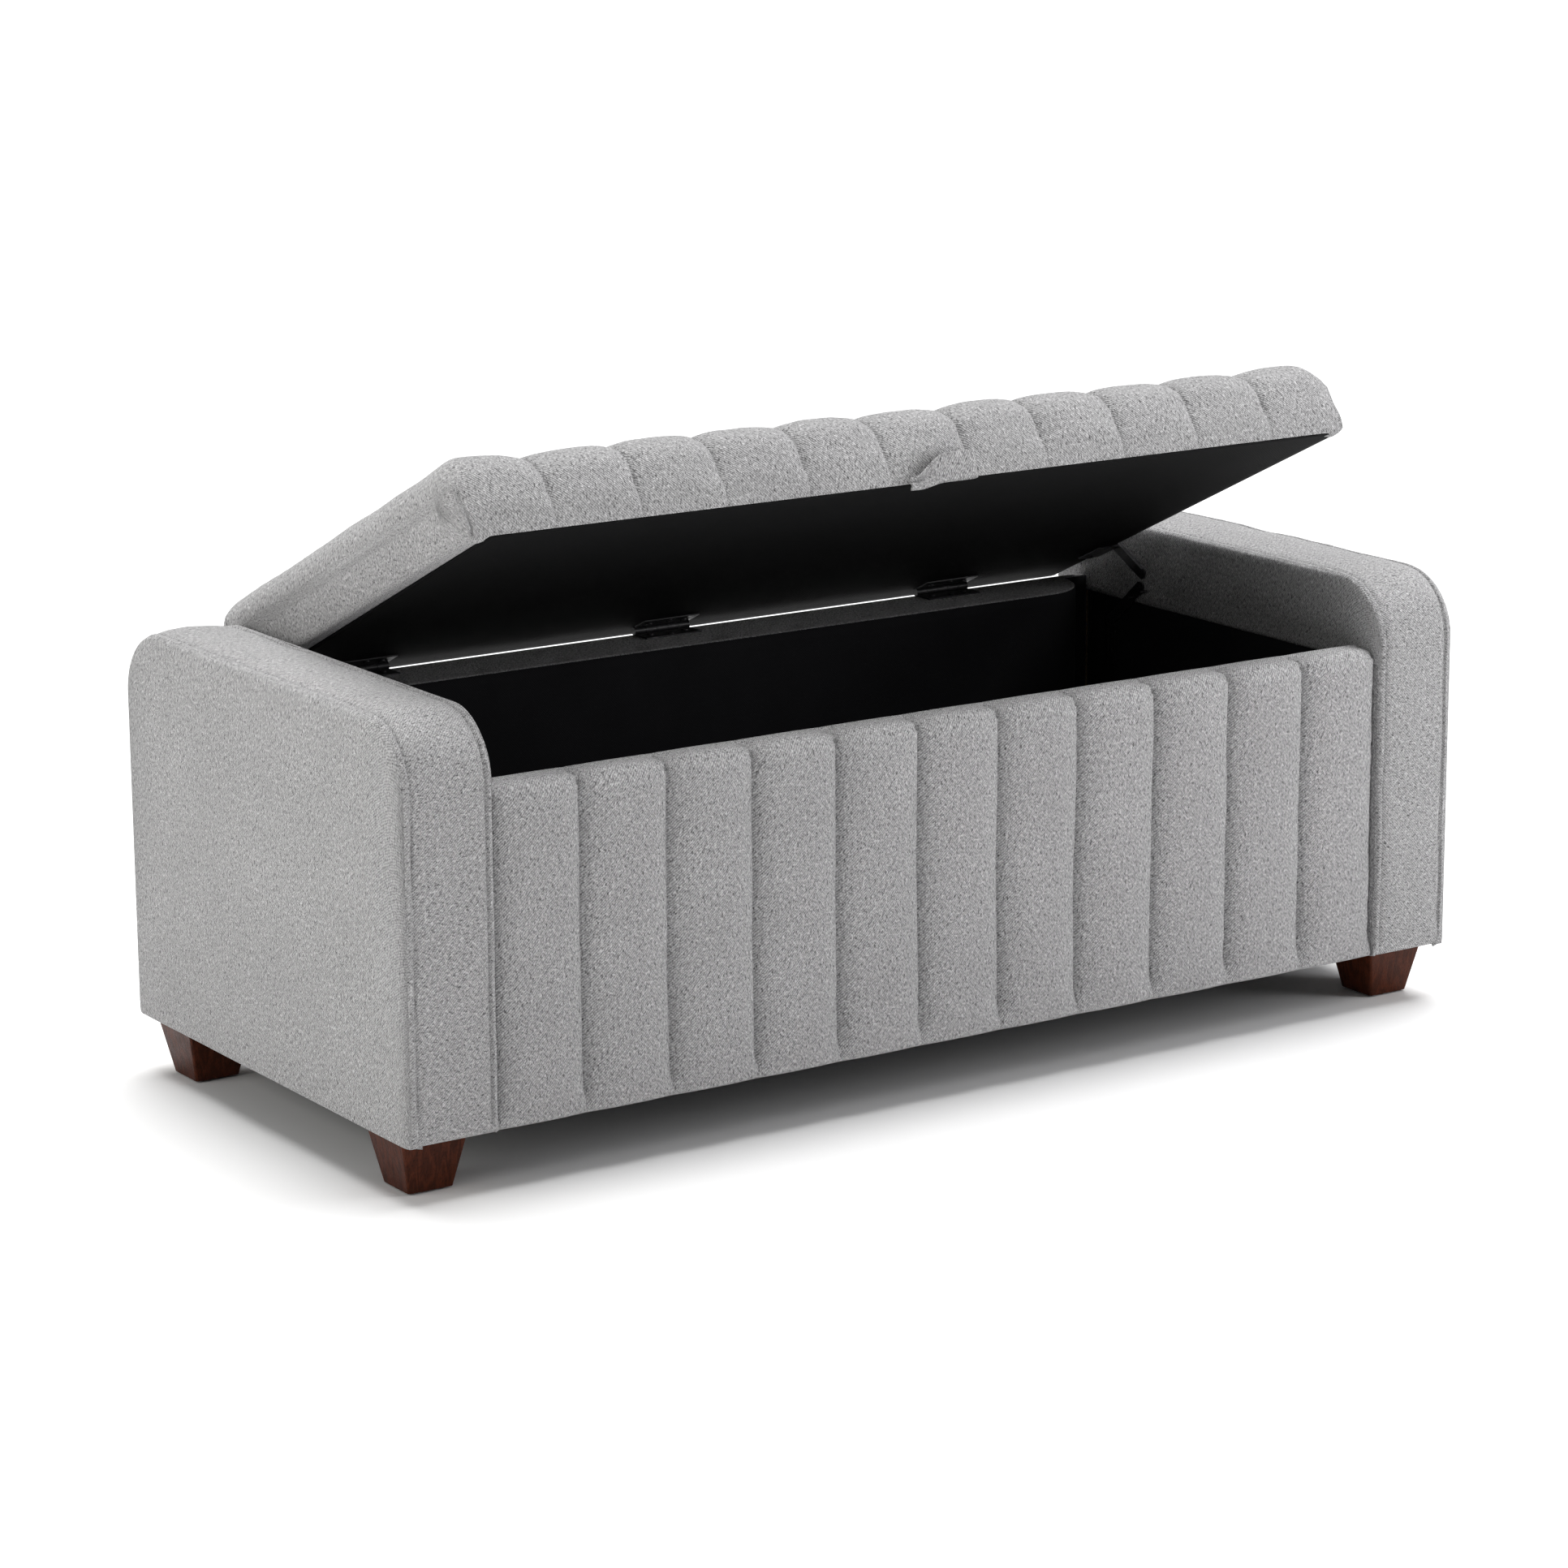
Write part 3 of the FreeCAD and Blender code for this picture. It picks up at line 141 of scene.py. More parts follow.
def feed(tree, socket, value):
    """Links an output to the socket, or sets a plain value on it."""
    if isinstance(value, bpy.types.NodeSocket):
        tree.links.new(value, socket)
    else:
        socket.default_value = value


def calculate(tree, operation, *values):
    """One Math node; returns its output."""
    node = tree.nodes.new("ShaderNodeMath")
    node.operation = operation
    for socket, value in zip(node.inputs, values):
        feed(tree, socket, value)
    return node.outputs[0]


def spread(tree, value, low, high, out_low=0.0, out_high=1.0):
    """Maps low..high to out_low..out_high, held at the ends."""
    node = tree.nodes.new("ShaderNodeMapRange")
    numbers = {"Value": value, "From Min": low, "From Max": high, "To Min": out_low, "To Max": out_high}
    for name, number in numbers.items():
        feed(tree, node.inputs[name], number)
    return node.outputs["Result"]


def mix_colours(tree, share, first, second):
    """One colour Mix node; returns its colour."""
    node = tree.nodes.new("ShaderNodeMix")
    node.data_type = "RGBA"
    for index, value in ((0, share), (6, first), (7, second)):
        feed(tree, node.inputs[index], value)
    return node.outputs[2]


def noise(tree, vector, scale, detail=2.0, roughness=0.5):
    """One Noise texture; returns its value, about 0.5 in the middle."""
    node = tree.nodes.new("ShaderNodeTexNoise")
    for name, value in (("Vector", vector), ("Scale", scale), ("Detail", detail), ("Roughness", roughness)):
        feed(tree, node.inputs[name], value)
    return node.outputs["Fac"]


def mapped(tree, vector, scale=(1.0, 1.0, 1.0), turned=(0.0, 0.0, 0.0)):
    """The vector through a Mapping node that turns and stretches the pattern."""
    node = tree.nodes.new("ShaderNodeMapping")
    feed(tree, node.inputs["Vector"], vector)
    node.inputs["Scale"].default_value = scale
    node.inputs["Rotation"].default_value = turned
    return node.outputs["Vector"]


def coordinates(tree, kind):
    """Object or UV coordinates."""
    return tree.nodes.new("ShaderNodeTexCoord").outputs[kind]


def new_group(name, inputs, outputs):
    """A shader node group with named sockets; returns it, its inputs and its outputs inside."""
    group = bpy.data.node_groups.new(name, "ShaderNodeTree")
    for label, kind in inputs.items():
        group.interface.new_socket(label, in_out="INPUT", socket_type="NodeSocket" + kind)
    for label, kind in outputs.items():
        group.interface.new_socket(label, in_out="OUTPUT", socket_type="NodeSocket" + kind)
    inside = group.nodes.new("NodeGroupInput")
    outside = group.nodes.new("NodeGroupOutput")
    return group, inside.outputs, outside.inputs


def placed_group(tree, group, **values):
    """A group node with its inputs set or linked; returns its outputs."""
    node = tree.nodes.new("ShaderNodeGroup")
    node.node_tree = group
    for name, value in values.items():
        feed(tree, node.inputs[name], value)
    return node.outputs


def new_material(name, **constants):
    """A material with one Principled shader, its plain numbers set on the shader itself."""
    material = bpy.data.materials.new(name)
    material.use_nodes = True
    shader = material.node_tree.nodes["Principled BSDF"]
    for label, value in constants.items():
        shader.inputs[label.replace("_", " ")].default_value = value
    return material, material.node_tree, shader


def raise_surface(tree, shader, height, distance, strength=1.0):
    """A Bump node from the height to the shader's normal."""
    node = tree.nodes.new("ShaderNodeBump")
    feed(tree, node.inputs["Height"], height)
    node.inputs["Distance"].default_value = distance
    node.inputs["Strength"].default_value = strength
    tree.links.new(node.outputs["Normal"], shader.inputs["Normal"])


# straight grain along Z: stretched bands, fine pores, and a slow drift in tone
wood_grain, here, out = new_group(
    "wood_grain",
    {"Vector": "Vector"},
    {"Bands": "Float", "Pores": "Float", "Drift": "Float"},
)
long_grain = mapped(wood_grain, here["Vector"], (1.0, 1.0, 0.07))
figure = noise(wood_grain, long_grain, 38.0, 3.0, 0.55)
rings = calculate(wood_grain, "SINE", calculate(wood_grain, "MULTIPLY", figure, 60.0))
feed(wood_grain, out["Bands"], spread(wood_grain, rings, -1.0, 1.0))
feed(wood_grain, out["Pores"], spread(wood_grain, noise(wood_grain, long_grain, 1400.0, 2.0), 0.38, 0.62))
feed(wood_grain, out["Drift"], noise(wood_grain, here["Vector"], 9.0, 3.0))

# handling marks: cloudy patches and short scratches, as a mask
worn_finish, here, out = new_group(
    "worn_finish", {"Vector": "Vector"}, {"Clouds": "Float", "Scratches": "Float"}
)
feed(worn_finish, out["Clouds"], noise(worn_finish, here["Vector"], 55.0, 5.0, 0.65))
mark_places = mapped(worn_finish, here["Vector"], (90.0, 700.0, 260.0), (0.4, 0.7, 0.2))
short_marks = noise(worn_finish, mark_places, 1.0, 2.0)
feed(worn_finish, out["Scratches"], spread(worn_finish, short_marks, 0.62, 0.72))

stained_wood, tree, shader = new_material(
    "stained_hardwood", Coat_Weight=0.02, Coat_Roughness=0.3, Specular_IOR_Level=0.1
)
place = coordinates(tree, "Object")
grain = placed_group(tree, wood_grain, Vector=place)
marks = placed_group(tree, worn_finish, Vector=place)
stain = mix_colours(tree, grain["Bands"], (0.030, 0.0072, 0.0030, 1), (0.074, 0.018, 0.0072, 1))
stain = mix_colours(tree, spread(tree, grain["Drift"], 0.3, 0.7, 0.0, 0.55), stain, (0.094, 0.022, 0.0085, 1))
stain = mix_colours(tree, spread(tree, grain["Pores"], 0.0, 0.45, 0.5, 0.0), stain, (0.012, 0.0045, 0.003, 1))
tree.links.new(stain, shader.inputs["Base Color"])
tree.links.new(spread(tree, marks["Clouds"], 0.3, 0.7, 0.3, 0.46), shader.inputs["Roughness"])
raise_surface(tree, shader, calculate(tree, "ADD", grain["Pores"], marks["Scratches"]), 0.00012, 0.6)


def clouded(name, dark, light, smoothest, roughest, **constants):
    """A material with cloudy patches between two colours and between two roughnesses."""
    material, tree, shader = new_material(name, **constants)
    marks = placed_group(tree, worn_finish, Vector=coordinates(tree, "Object"))
    tree.links.new(mix_colours(tree, marks["Clouds"], dark, light), shader.inputs["Base Color"])
    roughness = spread(tree, marks["Clouds"], 0.2, 0.8, smoothest, roughest)
    tree.links.new(roughness, shader.inputs["Roughness"])
    return material


nylon = clouded(
    "brown_nylon", (0.03, 0.024, 0.02, 1), (0.075, 0.06, 0.05, 1), 0.4, 0.62, Specular_IOR_Level=0.4
)
zinc = clouded(
    "zinc_plated_steel", (0.42, 0.42, 0.4, 1), (0.62, 0.6, 0.55, 1), 0.28, 0.5, Metallic=1.0
)


def finish_node(name, material):
    """A CAD node kept as it is, with this material."""
    data = nodes[name].data
    data.materials.clear()
    data.materials.append(material)


for end in ("front", "back"):
    for side in ("left", "right"):
        finish_node(f"foot_{end}_{side}", stained_wood)
finish_node("foot_glides", nylon)
for bolts in ("foot_hanger_bolts", "carcass_bolts"):
    finish_node(bolts, zinc)


# ----------------------------------------
# Carcass
# Plywood panels, boards and sawn softwood strips, glued and stapled, left bare because cloth
# covers all of them.
# ----------------------------------------

bare_wood, tree, shader = new_material("bare_plywood", Specular_IOR_Level=0.25)
along_bench = mapped(tree, coordinates(tree, "Object"), turned=(0.0, math.pi / 2, 0.0))
grain = placed_group(tree, wood_grain, Vector=along_bench)
plywood = mix_colours(tree, grain["Bands"], (0.5, 0.34, 0.19, 1), (0.64, 0.47, 0.29, 1))
drift = spread(tree, grain["Drift"], 0.35, 0.65, 0.0, 0.4)
plywood = mix_colours(tree, drift, plywood, (0.44, 0.29, 0.16, 1))
tree.links.new(plywood, shader.inputs["Base Color"])
tree.links.new(spread(tree, grain["Pores"], 0.0, 1.0, 0.85, 0.7), shader.inputs["Roughness"])
raise_surface(tree, shader, grain["Pores"], 0.0002)

for board in ("front_board", "back_board", "back_studs", "hinge_rail", "floor_stretchers", "floor_board"):
    finish_node(board, bare_wood)
for side in ("left", "right"):
    for part in ("edge_frame", "inner_panel", "outer_panel"):
        finish_node(f"{side}_arm_{part}", bare_wood)


# ----------------------------------------
# Lining and dust covers
# Thin black woven cloth, stapled flat to the five faces of the storage space, and the same kind
# of cloth in spun black fibre under the carcass.
# ----------------------------------------

# plain weave: two sets of threads crossing at right angles over a slow unevenness
plain_weave, here, out = new_group(
    "plain_weave",
    {"Vector": "Vector", "Threads per metre": "Float"},
    {"Thread": "Float", "Fibre": "Float", "Patch": "Float"},
)
count = calculate(plain_weave, "MULTIPLY", here["Threads per metre"], math.pi)
split = plain_weave.nodes.new("ShaderNodeSeparateXYZ")
feed(plain_weave, split.inputs[0], here["Vector"])
warp = calculate(plain_weave, "SINE", calculate(plain_weave, "MULTIPLY", split.outputs["X"], count))
weft = calculate(plain_weave, "SINE", calculate(plain_weave, "MULTIPLY", split.outputs["Y"], count))
crossing = calculate(plain_weave, "MULTIPLY", warp, weft)
feed(plain_weave, out["Thread"], spread(plain_weave, crossing, -1.0, 1.0))
feed(plain_weave, out["Fibre"], noise(plain_weave, here["Vector"], 900.0, 3.0, 0.7))
feed(plain_weave, out["Patch"], noise(plain_weave, here["Vector"], 14.0, 3.0))


def black_cloth(name, dark, light, threads, sheen):
    """A black cloth: the two colours along its threads, and how many threads to a metre."""
    material, tree, shader = new_material(
        name, Sheen_Weight=sheen, Sheen_Roughness=0.4, Specular_IOR_Level=0.12
    )
    cloth = placed_group(tree, plain_weave, Vector=coordinates(tree, "UV"))
    cloth[0].node.inputs["Threads per metre"].default_value = threads
    share = calculate(tree, "MULTIPLY", cloth["Thread"], spread(tree, cloth["Fibre"], 0.3, 0.7, 0.3, 1.0))
    colour = mix_colours(tree, share, dark, light)
    colour = mix_colours(tree, spread(tree, cloth["Patch"], 0.3, 0.7, 0.0, 0.5), colour, dark)
    tree.links.new(colour, shader.inputs["Base Color"])
    tree.links.new(spread(tree, cloth["Fibre"], 0.3, 0.7, 0.8, 0.95), shader.inputs["Roughness"])
    raise_surface(tree, shader, calculate(tree, "ADD", cloth["Thread"], cloth["Fibre"]), 0.0002, 0.7)
    return material


lining_cloth = black_cloth("black_lining", (0.009, 0.009, 0.010, 1), (0.030, 0.030, 0.033, 1), 700.0, 0.03)
spun_cloth = black_cloth(
    "black_spun_cloth", (0.003, 0.003, 0.0032, 1), (0.008, 0.0082, 0.009, 1), 640.0, 0.0
)


def corners_of(name):
    """The low and the high corner of a CAD node's box, as two arrays."""
    return (np.array(corner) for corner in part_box(name))


def grid_piece(name, points, material, inside, closed_across=False, end_faces=False, weld=False):
    """A smooth quad mesh through a grid of points, rows by columns, facing away from inside.

    Its UV map gives the distance along the cloth in metres: the mean running length of the rows
    and of the columns. closed_across joins the last column to the first, end_faces caps the first
    and last rows, and weld merges points that lie on each other.
    """
    rows, columns = points.shape[:2]
    ring = np.concatenate([points, points[:, :1]], axis=1) if closed_across else points
    across = np.linalg.norm(np.diff(ring, axis=1), axis=2).mean(0)
    down = np.linalg.norm(np.diff(points, axis=0), axis=2).mean(1)
    across = np.concatenate([[0.0], np.cumsum(across)])
    down = np.concatenate([[0.0], np.cumsum(down)])
    row, column = np.meshgrid(np.arange(rows - 1), np.arange(ring.shape[1] - 1), indexing="ij")
    row, column = row.ravel(), column.ravel()
    loop_rows = np.stack([row, row + 1, row + 1, row], 1)
    loop_columns = np.stack([column, column, column + 1, column + 1], 1)
    faces = loop_rows * columns + loop_columns % columns
    centres = points.reshape(-1, 3)[faces]
    outward = np.cross(centres[:, 2] - centres[:, 0], centres[:, 3] - centres[:, 1])
    if (outward * (centres.mean(1) - np.asarray(inside, float))).sum() < 0:
        faces, loop_rows, loop_columns = faces[:, ::-1], loop_rows[:, ::-1], loop_columns[:, ::-1]
    uv = np.stack([across[loop_columns], down[loop_rows]], 2).reshape(-1, 2)
    face_list = faces.tolist()
    if end_faces:
        for first in (0, (rows - 1) * columns):
            face_list.append(list(range(first, first + columns)))
        uv = np.concatenate([uv, np.zeros((2 * columns, 2))])
    mesh = bpy.data.meshes.new(name)
    mesh.from_pydata(points.reshape(-1, 3).tolist(), [], face_list)
    mesh.uv_layers.new(name="cloth").data.foreach_set("uv", uv.astype(np.float32).ravel())
    if weld or end_faces:
        shell = bmesh.new()
        shell.from_mesh(mesh)
        if weld:
            bmesh.ops.remove_doubles(shell, verts=shell.verts, dist=1e-6)
        if end_faces:
            bmesh.ops.recalc_face_normals(shell, faces=shell.faces)
        shell.to_mesh(mesh)
        shell.free()
    mesh.polygons.foreach_set("use_smooth", np.ones(len(mesh.polygons), bool))
    mesh.materials.append(material)
    piece = bpy.data.objects.new(name, mesh)
    scene.collection.objects.link(piece)
    return piece


def thicken(piece, thickness):
    """Gives a sheet its thickness, inwards from the face that shows."""
    wall = piece.modifiers.new("thickness", "SOLIDIFY")
    wall.thickness = thickness
    wall.offset = -1.0


def ripple(u, v, wavelength, seed):
    """Soft unevenness, about -1 to 1: the mean of twelve sine waves over (u, v).

    Each wave has its own direction and start, drawn from the seed, and a length between two
    thirds and one and a half of wavelength.
    """
    draw = np.random.default_rng(seed)
    direction, start, length = draw.random((3, 12))
    angle = direction * math.tau
    cycles = math.tau / (wavelength * (0.67 + 0.83 * length))
    u, v = np.broadcast_arrays(u, v)
    phase = cycles * (u[..., None] * np.cos(angle) + v[..., None] * np.sin(angle)) + start * math.tau
    return np.sin(phase).sum(-1) / 5.0


def rounded_path(corners, radii, arc_points=16):
    """A line through 2-D corners, each inner corner rounded to its radius.

    An arc starts and ends radius times the tangent of half the turn from its corner. Returns a
    function that gives points and left-hand normals at distances along the line, and its length.
    """
    corners = np.asarray(corners, float)
    line = [corners[0]]
    for before, corner, after, radius in zip(corners, corners[1:], corners[2:], radii):
        arriving = (corner - before) / np.linalg.norm(corner - before)
        leaving = (after - corner) / np.linalg.norm(after - corner)
        side = np.sign(arriving[0] * leaving[1] - arriving[1] * leaving[0])
        bend = math.acos(np.clip(arriving @ leaving, -1, 1))
        start = corner - arriving * radius * math.tan(bend / 2)
        centre = start + side * radius * np.array([-arriving[1], arriving[0]])
        swing = side * np.linspace(0, bend, arc_points)
        x, y = start - centre
        arc_x = x * np.cos(swing) - y * np.sin(swing)
        arc_y = x * np.sin(swing) + y * np.cos(swing)
        line += list(centre + np.stack([arc_x, arc_y], 1))
    line.append(corners[-1])
    line = np.array(line)
    run = np.concatenate([[0.0], np.cumsum(np.linalg.norm(np.diff(line, axis=0), axis=1))])

    def at(distance):
        def point(d):
            return np.stack([np.interp(d, run, line[:, 0]), np.interp(d, run, line[:, 1])], -1)

        nudge = 0.0006
        ahead = point(np.minimum(distance + nudge, run[-1])) - point(np.maximum(distance - nudge, 0.0))
        ahead /= np.linalg.norm(ahead, axis=-1, keepdims=True)
        return point(distance), np.stack([-ahead[..., 1], ahead[..., 0]], -1)

    return at, run[-1]


lining_sag = 0.0009
lining_step = 0.012
lining_thick = 0.0012
storage_middle = (0.0, -0.04, 0.25)
rail_end, rail_bend = 0.512, 0.068
rim_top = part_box("back_cover")[1][2]
curtain_low, curtain_high = corners_of("lining_back")
floor_low, floor_high = corners_of("lining_floor")
pocket_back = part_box("lining_left")[1][1]


def curtain_front(x):
    """Y of the lining in front of the rail: its front, a rounded corner, then the back board."""
    past = np.clip(np.abs(x) - (rail_end - rail_bend), 0, rail_bend)
    on_corner = curtain_low[1] + rail_bend - np.sqrt(rail_bend**2 - past**2)
    return np.where(np.abs(x) < rail_end, on_corner, pocket_back)


def staple(piece, body, node):
    """Parents one black cloth stapled flat to its body, and hides its CAD node."""
    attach(piece, body)
    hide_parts(node)


def line_storage(name, points, behind):
    """One lining sheet, thickened away from the storage space."""
    piece = grid_piece(name + "_cloth", points, lining_cloth, behind)
    thicken(piece, lining_thick)
    staple(piece, "carcass", name)


def slack(a, b, seed):
    """Depth of the cloth behind its flat face."""
    broad = lining_sag * (0.5 + 0.5 * ripple(a, b, 0.22, seed))
    return np.maximum(broad + 0.3 * lining_sag * ripple(a, b, 0.05, seed + 50), 0.0)


# floor, reaching into the two corners beside the rail
x, share = np.meshgrid(np.linspace(floor_low[0], floor_high[0], 120), np.linspace(0, 1, 40), indexing="ij")
y = floor_low[1] + share * (curtain_front(x) - floor_low[1])
points = np.stack([x, y, floor_high[2] - slack(x, y, 21)], -1)
line_storage("lining_floor", points, (0.0, 0.0, -1.0))

# back, from the top edge of the rail down, turned back round the rail's ends
curtain_line, curtain_length = rounded_path(
    [
        (curtain_low[0], pocket_back),
        (-rail_end, pocket_back),
        (-rail_end, curtain_low[1]),
        (rail_end, curtain_low[1]),
        (rail_end, pocket_back),
        (curtain_high[0], pocket_back),
    ],
    [0.001, rail_bend, rail_bend, 0.001],
)
curtain_heights = np.linspace(curtain_low[2], rim_top - 0.0008, 28)
run, z = np.meshgrid(np.linspace(0, curtain_length, 180), curtain_heights, indexing="ij")
plan, plan_normal = curtain_line(run)
points = np.stack([plan[..., 0], plan[..., 1], z], -1)
points[..., :2] += plan_normal * slack(run, z, 23)[..., None]
line_storage(
    "lining_back",
    points,
    (0.0, 1.0, 0.25),
)

# front and the two sides
lining_rests = {
    "lining_front": (1, ["front_board"], 22),
    "lining_left": (0, ["left_arm_inner_panel"], 24),
    "lining_right": (0, ["right_arm_inner_panel"], 25),
}
for cloth_name, (across_axis, boards, seed) in lining_rests.items():
    low, high = corners_of(cloth_name)
    middle = (low + high) / 2
    towards_middle = np.sign(storage_middle[across_axis] - middle[across_axis])
    first, second = (axis for axis in range(3) if axis != across_axis)
    counts = [int((high[axis] - low[axis]) / lining_step) + 2 for axis in (first, second)]
    a, b = np.meshgrid(
        np.linspace(low[first], high[first], counts[0]),
        np.linspace(low[second], high[second], counts[1]),
        indexing="ij",
    )
    face = high if towards_middle > 0 else low
    points = np.zeros(a.shape + (3,))
    points[..., first], points[..., second] = a, b
    points[..., across_axis] = face[across_axis] - towards_middle * slack(a, b, seed)
    behind = middle.copy()
    behind[across_axis] = middle[across_axis] - towards_middle
    line_storage(cloth_name, points, behind)

dust_low, dust_high = corners_of("bottom_dust_cover")
a, b = np.meshgrid(
    np.linspace(dust_low[0], dust_high[0], 110), np.linspace(dust_low[1], dust_high[1], 46), indexing="ij"
)
dust_droop = 0.0005 * (0.5 + 0.5 * ripple(a, b, 0.3, 31))
points = np.stack([a, b, dust_high[2] - 0.0009 - dust_droop], -1)
bottom_cloth = grid_piece("bottom_dust_cloth", points, spun_cloth, (0.0, 0.0, 1.0))
thicken(bottom_cloth, 0.0006)
staple(bottom_cloth, "carcass", "bottom_dust_cover")


# ----------------------------------------
# Arms
# Each arm is a plywood box in thin padding under grey tweed: an outer and an inner side panel,
# joined by a band that runs up the front, over the top and down the back. Both seams are turned
# towards the band and topstitched, which leaves a flat ridge beside each.
# ----------------------------------------

# twill of mixed grey yarns: slanting ribs broken into short stitches, pale and dark neps
weave, here, out = new_group(
    "tweed_weave",
    {"Vector": "Vector", "Pale": "Color", "Middle": "Color", "Dark": "Color"},
    {"Colour": "Color", "Height": "Float", "Roughness": "Float"},
)
wander = noise(weave, here["Vector"], 160.0, 2.0)
split = weave.nodes.new("ShaderNodeSeparateXYZ")
feed(weave, split.inputs[0], here["Vector"])
slant = calculate(weave, "ADD", split.outputs["X"], split.outputs["Y"])
cross_slant = calculate(weave, "SUBTRACT", split.outputs["X"], split.outputs["Y"])
rib_wander = calculate(weave, "MULTIPLY", wander, 9.0)
rib_phase = calculate(weave, "MULTIPLY_ADD", slant, math.tau / 0.0030, rib_wander)
stitch_wander = calculate(weave, "MULTIPLY", wander, 16.0)
stitch_phase = calculate(weave, "MULTIPLY_ADD", cross_slant, math.tau / 0.0046, stitch_wander)
rib = spread(weave, calculate(weave, "SINE", rib_phase), -1.0, 1.0)
stitch = spread(weave, calculate(weave, "SINE", stitch_phase), -1.0, 1.0, 0.35, 1.0)
thread = calculate(weave, "MULTIPLY", rib, stitch)
yarn = noise(weave, here["Vector"], 330.0, 4.0, 0.75)
slub_vector = mapped(weave, here["Vector"], (1.0, 2.2, 1.0), (0.0, 0.0, math.pi / 4))
slub = noise(weave, slub_vector, 205.0, 2.0, 0.6)
nep = noise(weave, here["Vector"], 300.0, 1.0, 0.4)
cloud = noise(weave, here["Vector"], 11.0, 3.0)
thread_tone = calculate(weave, "MULTIPLY", thread, 0.42)
tone = calculate(weave, "ADD", thread_tone, spread(weave, yarn, 0.3, 0.7, 0.0, 0.58))
colour = mix_colours(weave, spread(weave, tone, 0.15, 0.85), here["Middle"], here["Pale"])
colour = mix_colours(weave, spread(weave, slub, 0.56, 0.68, 0.0, 0.85), colour, here["Dark"])
colour = mix_colours(weave, spread(weave, nep, 0.6, 0.7, 0.0, 0.75), colour, here["Pale"])
colour = mix_colours(weave, spread(weave, cloud, 0.3, 0.7, 0.0, 0.16), colour, here["Middle"])
feed(weave, out["Colour"], colour)
feed(weave, out["Height"], calculate(weave, "MULTIPLY_ADD", yarn, 1.4, thread))
feed(weave, out["Roughness"], spread(weave, yarn, 0.3, 0.7, 0.95, 0.82))

tweed, tree, shader = new_material(
    "grey_tweed", Sheen_Weight=0.18, Sheen_Roughness=0.5, Specular_IOR_Level=0.12
)
cloth = placed_group(tree, weave, Vector=coordinates(tree, "UV"))
cloth_sockets = cloth[0].node.inputs
cloth_sockets["Pale"].default_value = (0.66, 0.654, 0.66, 1)
cloth_sockets["Middle"].default_value = (0.195, 0.193, 0.195, 1)
cloth_sockets["Dark"].default_value = (0.05, 0.049, 0.049, 1)
tree.links.new(cloth["Colour"], shader.inputs["Base Color"])
tree.links.new(cloth["Roughness"], shader.inputs["Roughness"])
raise_surface(tree, shader, cloth["Height"], 0.0009, 0.9)


def seam_ridge(distance):
    """Height of the cloth beside a turned and topstitched seam, by distance from the seam.

    It comes up out of the seam in 2 mm, stands 1 mm proud to 6 mm, dips at the stitching at
    8 mm and is level from 12 mm on.
    """
    return np.interp(
        distance,
        [0.0, 0.0008, 0.002, 0.0035, 0.006, 0.0068, 0.008, 0.0095, 0.012],
        [-0.0040, -0.0016, 0.0004, 0.0012, 0.0010, -0.0004, -0.0022, -0.0008, 0.0],
    )


def smooth_step(value, low, high):
    """0 below low, 1 above high, and 3t^2 - 2t^3 between them."""
    share = np.clip((value - low) / (high - low), 0, 1)
    return share * share * (3 - 2 * share)


def quarter_round(distance, radius):
    """0 at an edge and 1 from radius on, along a quarter circle: sqrt(1 - (1 - d / r)^2)."""
    return np.sqrt(np.clip(1 - (1 - np.clip(distance / radius, 0, 1)) ** 2, 0, 1))


def upholster(piece, body, node):
    """Parents one padded tweed piece to its body, and hides its CAD node."""
    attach(piece, body)
    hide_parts(node)


arm_corner = 0.068
arm_hem = 0.011
arm_bottom_fold = 0.005
seam_in_side = 0.0015
band_crown = 0.0026
tweed_thick = 0.0016
band_low, band_high = corners_of("right_arm_band_cover")
inner_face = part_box("right_arm_inner_cover")[0][0]
outer_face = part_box("right_arm_outer_cover")[1][0]
arm_front, arm_back, arm_bottom, arm_top = band_low[1], band_high[1], band_low[2], band_high[2]
inner_seam = inner_face + seam_in_side
outer_seam = outer_face - 0.0045

arm_line, arm_length = rounded_path(
    [
        (arm_front + arm_hem, arm_bottom),
        (arm_front, arm_bottom),
        (arm_front, arm_top),
        (arm_back, arm_top),
        (arm_back, arm_bottom),
        (arm_back - arm_hem, arm_bottom),
    ],
    [arm_bottom_fold, arm_corner, arm_corner, arm_bottom_fold],
)
band_stations = np.linspace(0, arm_length, 560)
seam_steps = np.array([0, 0.4, 0.8, 1.3, 2, 3, 4.5, 6, 6.8, 7.5, 8.2, 9, 11, 14]) / 1000
band_width = outer_seam - inner_seam
band_across = np.concatenate(
    [seam_steps, np.linspace(0.018, band_width - 0.018, 18), (band_width - seam_steps)[::-1]]
)

# outer panel: it rolls over into the seams, widest along the top
panel_edge_roll = 0.011
panel_top_roll = 0.032
panel_low_roll = 0.010
panel_turn_in = 0.012
panel_belly = 0.0030
panel_middle_z = (arm_bottom + arm_top) / 2
panel_reach = (arm_top - arm_bottom) / 2

# inner panel: columns along Y, closer together round the two corners
inner_panel_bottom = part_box("lining_right")[1][2]
inner_rear_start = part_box("back_board")[0][1]
pad_rear = -0.247
inner_roll = 0.010
corner_swing = np.linspace(0, math.pi / 2, 22)[:-1]
corner_centre = arm_back - arm_corner
right_columns = corner_centre + arm_corner * np.sin(corner_swing)
level_columns = np.linspace(-corner_centre, corner_centre, 90)[1:-1]
inner_columns = np.concatenate([-right_columns[::-1], level_columns, right_columns])
outer_columns = np.concatenate([[-arm_back], inner_columns, [arm_back]])

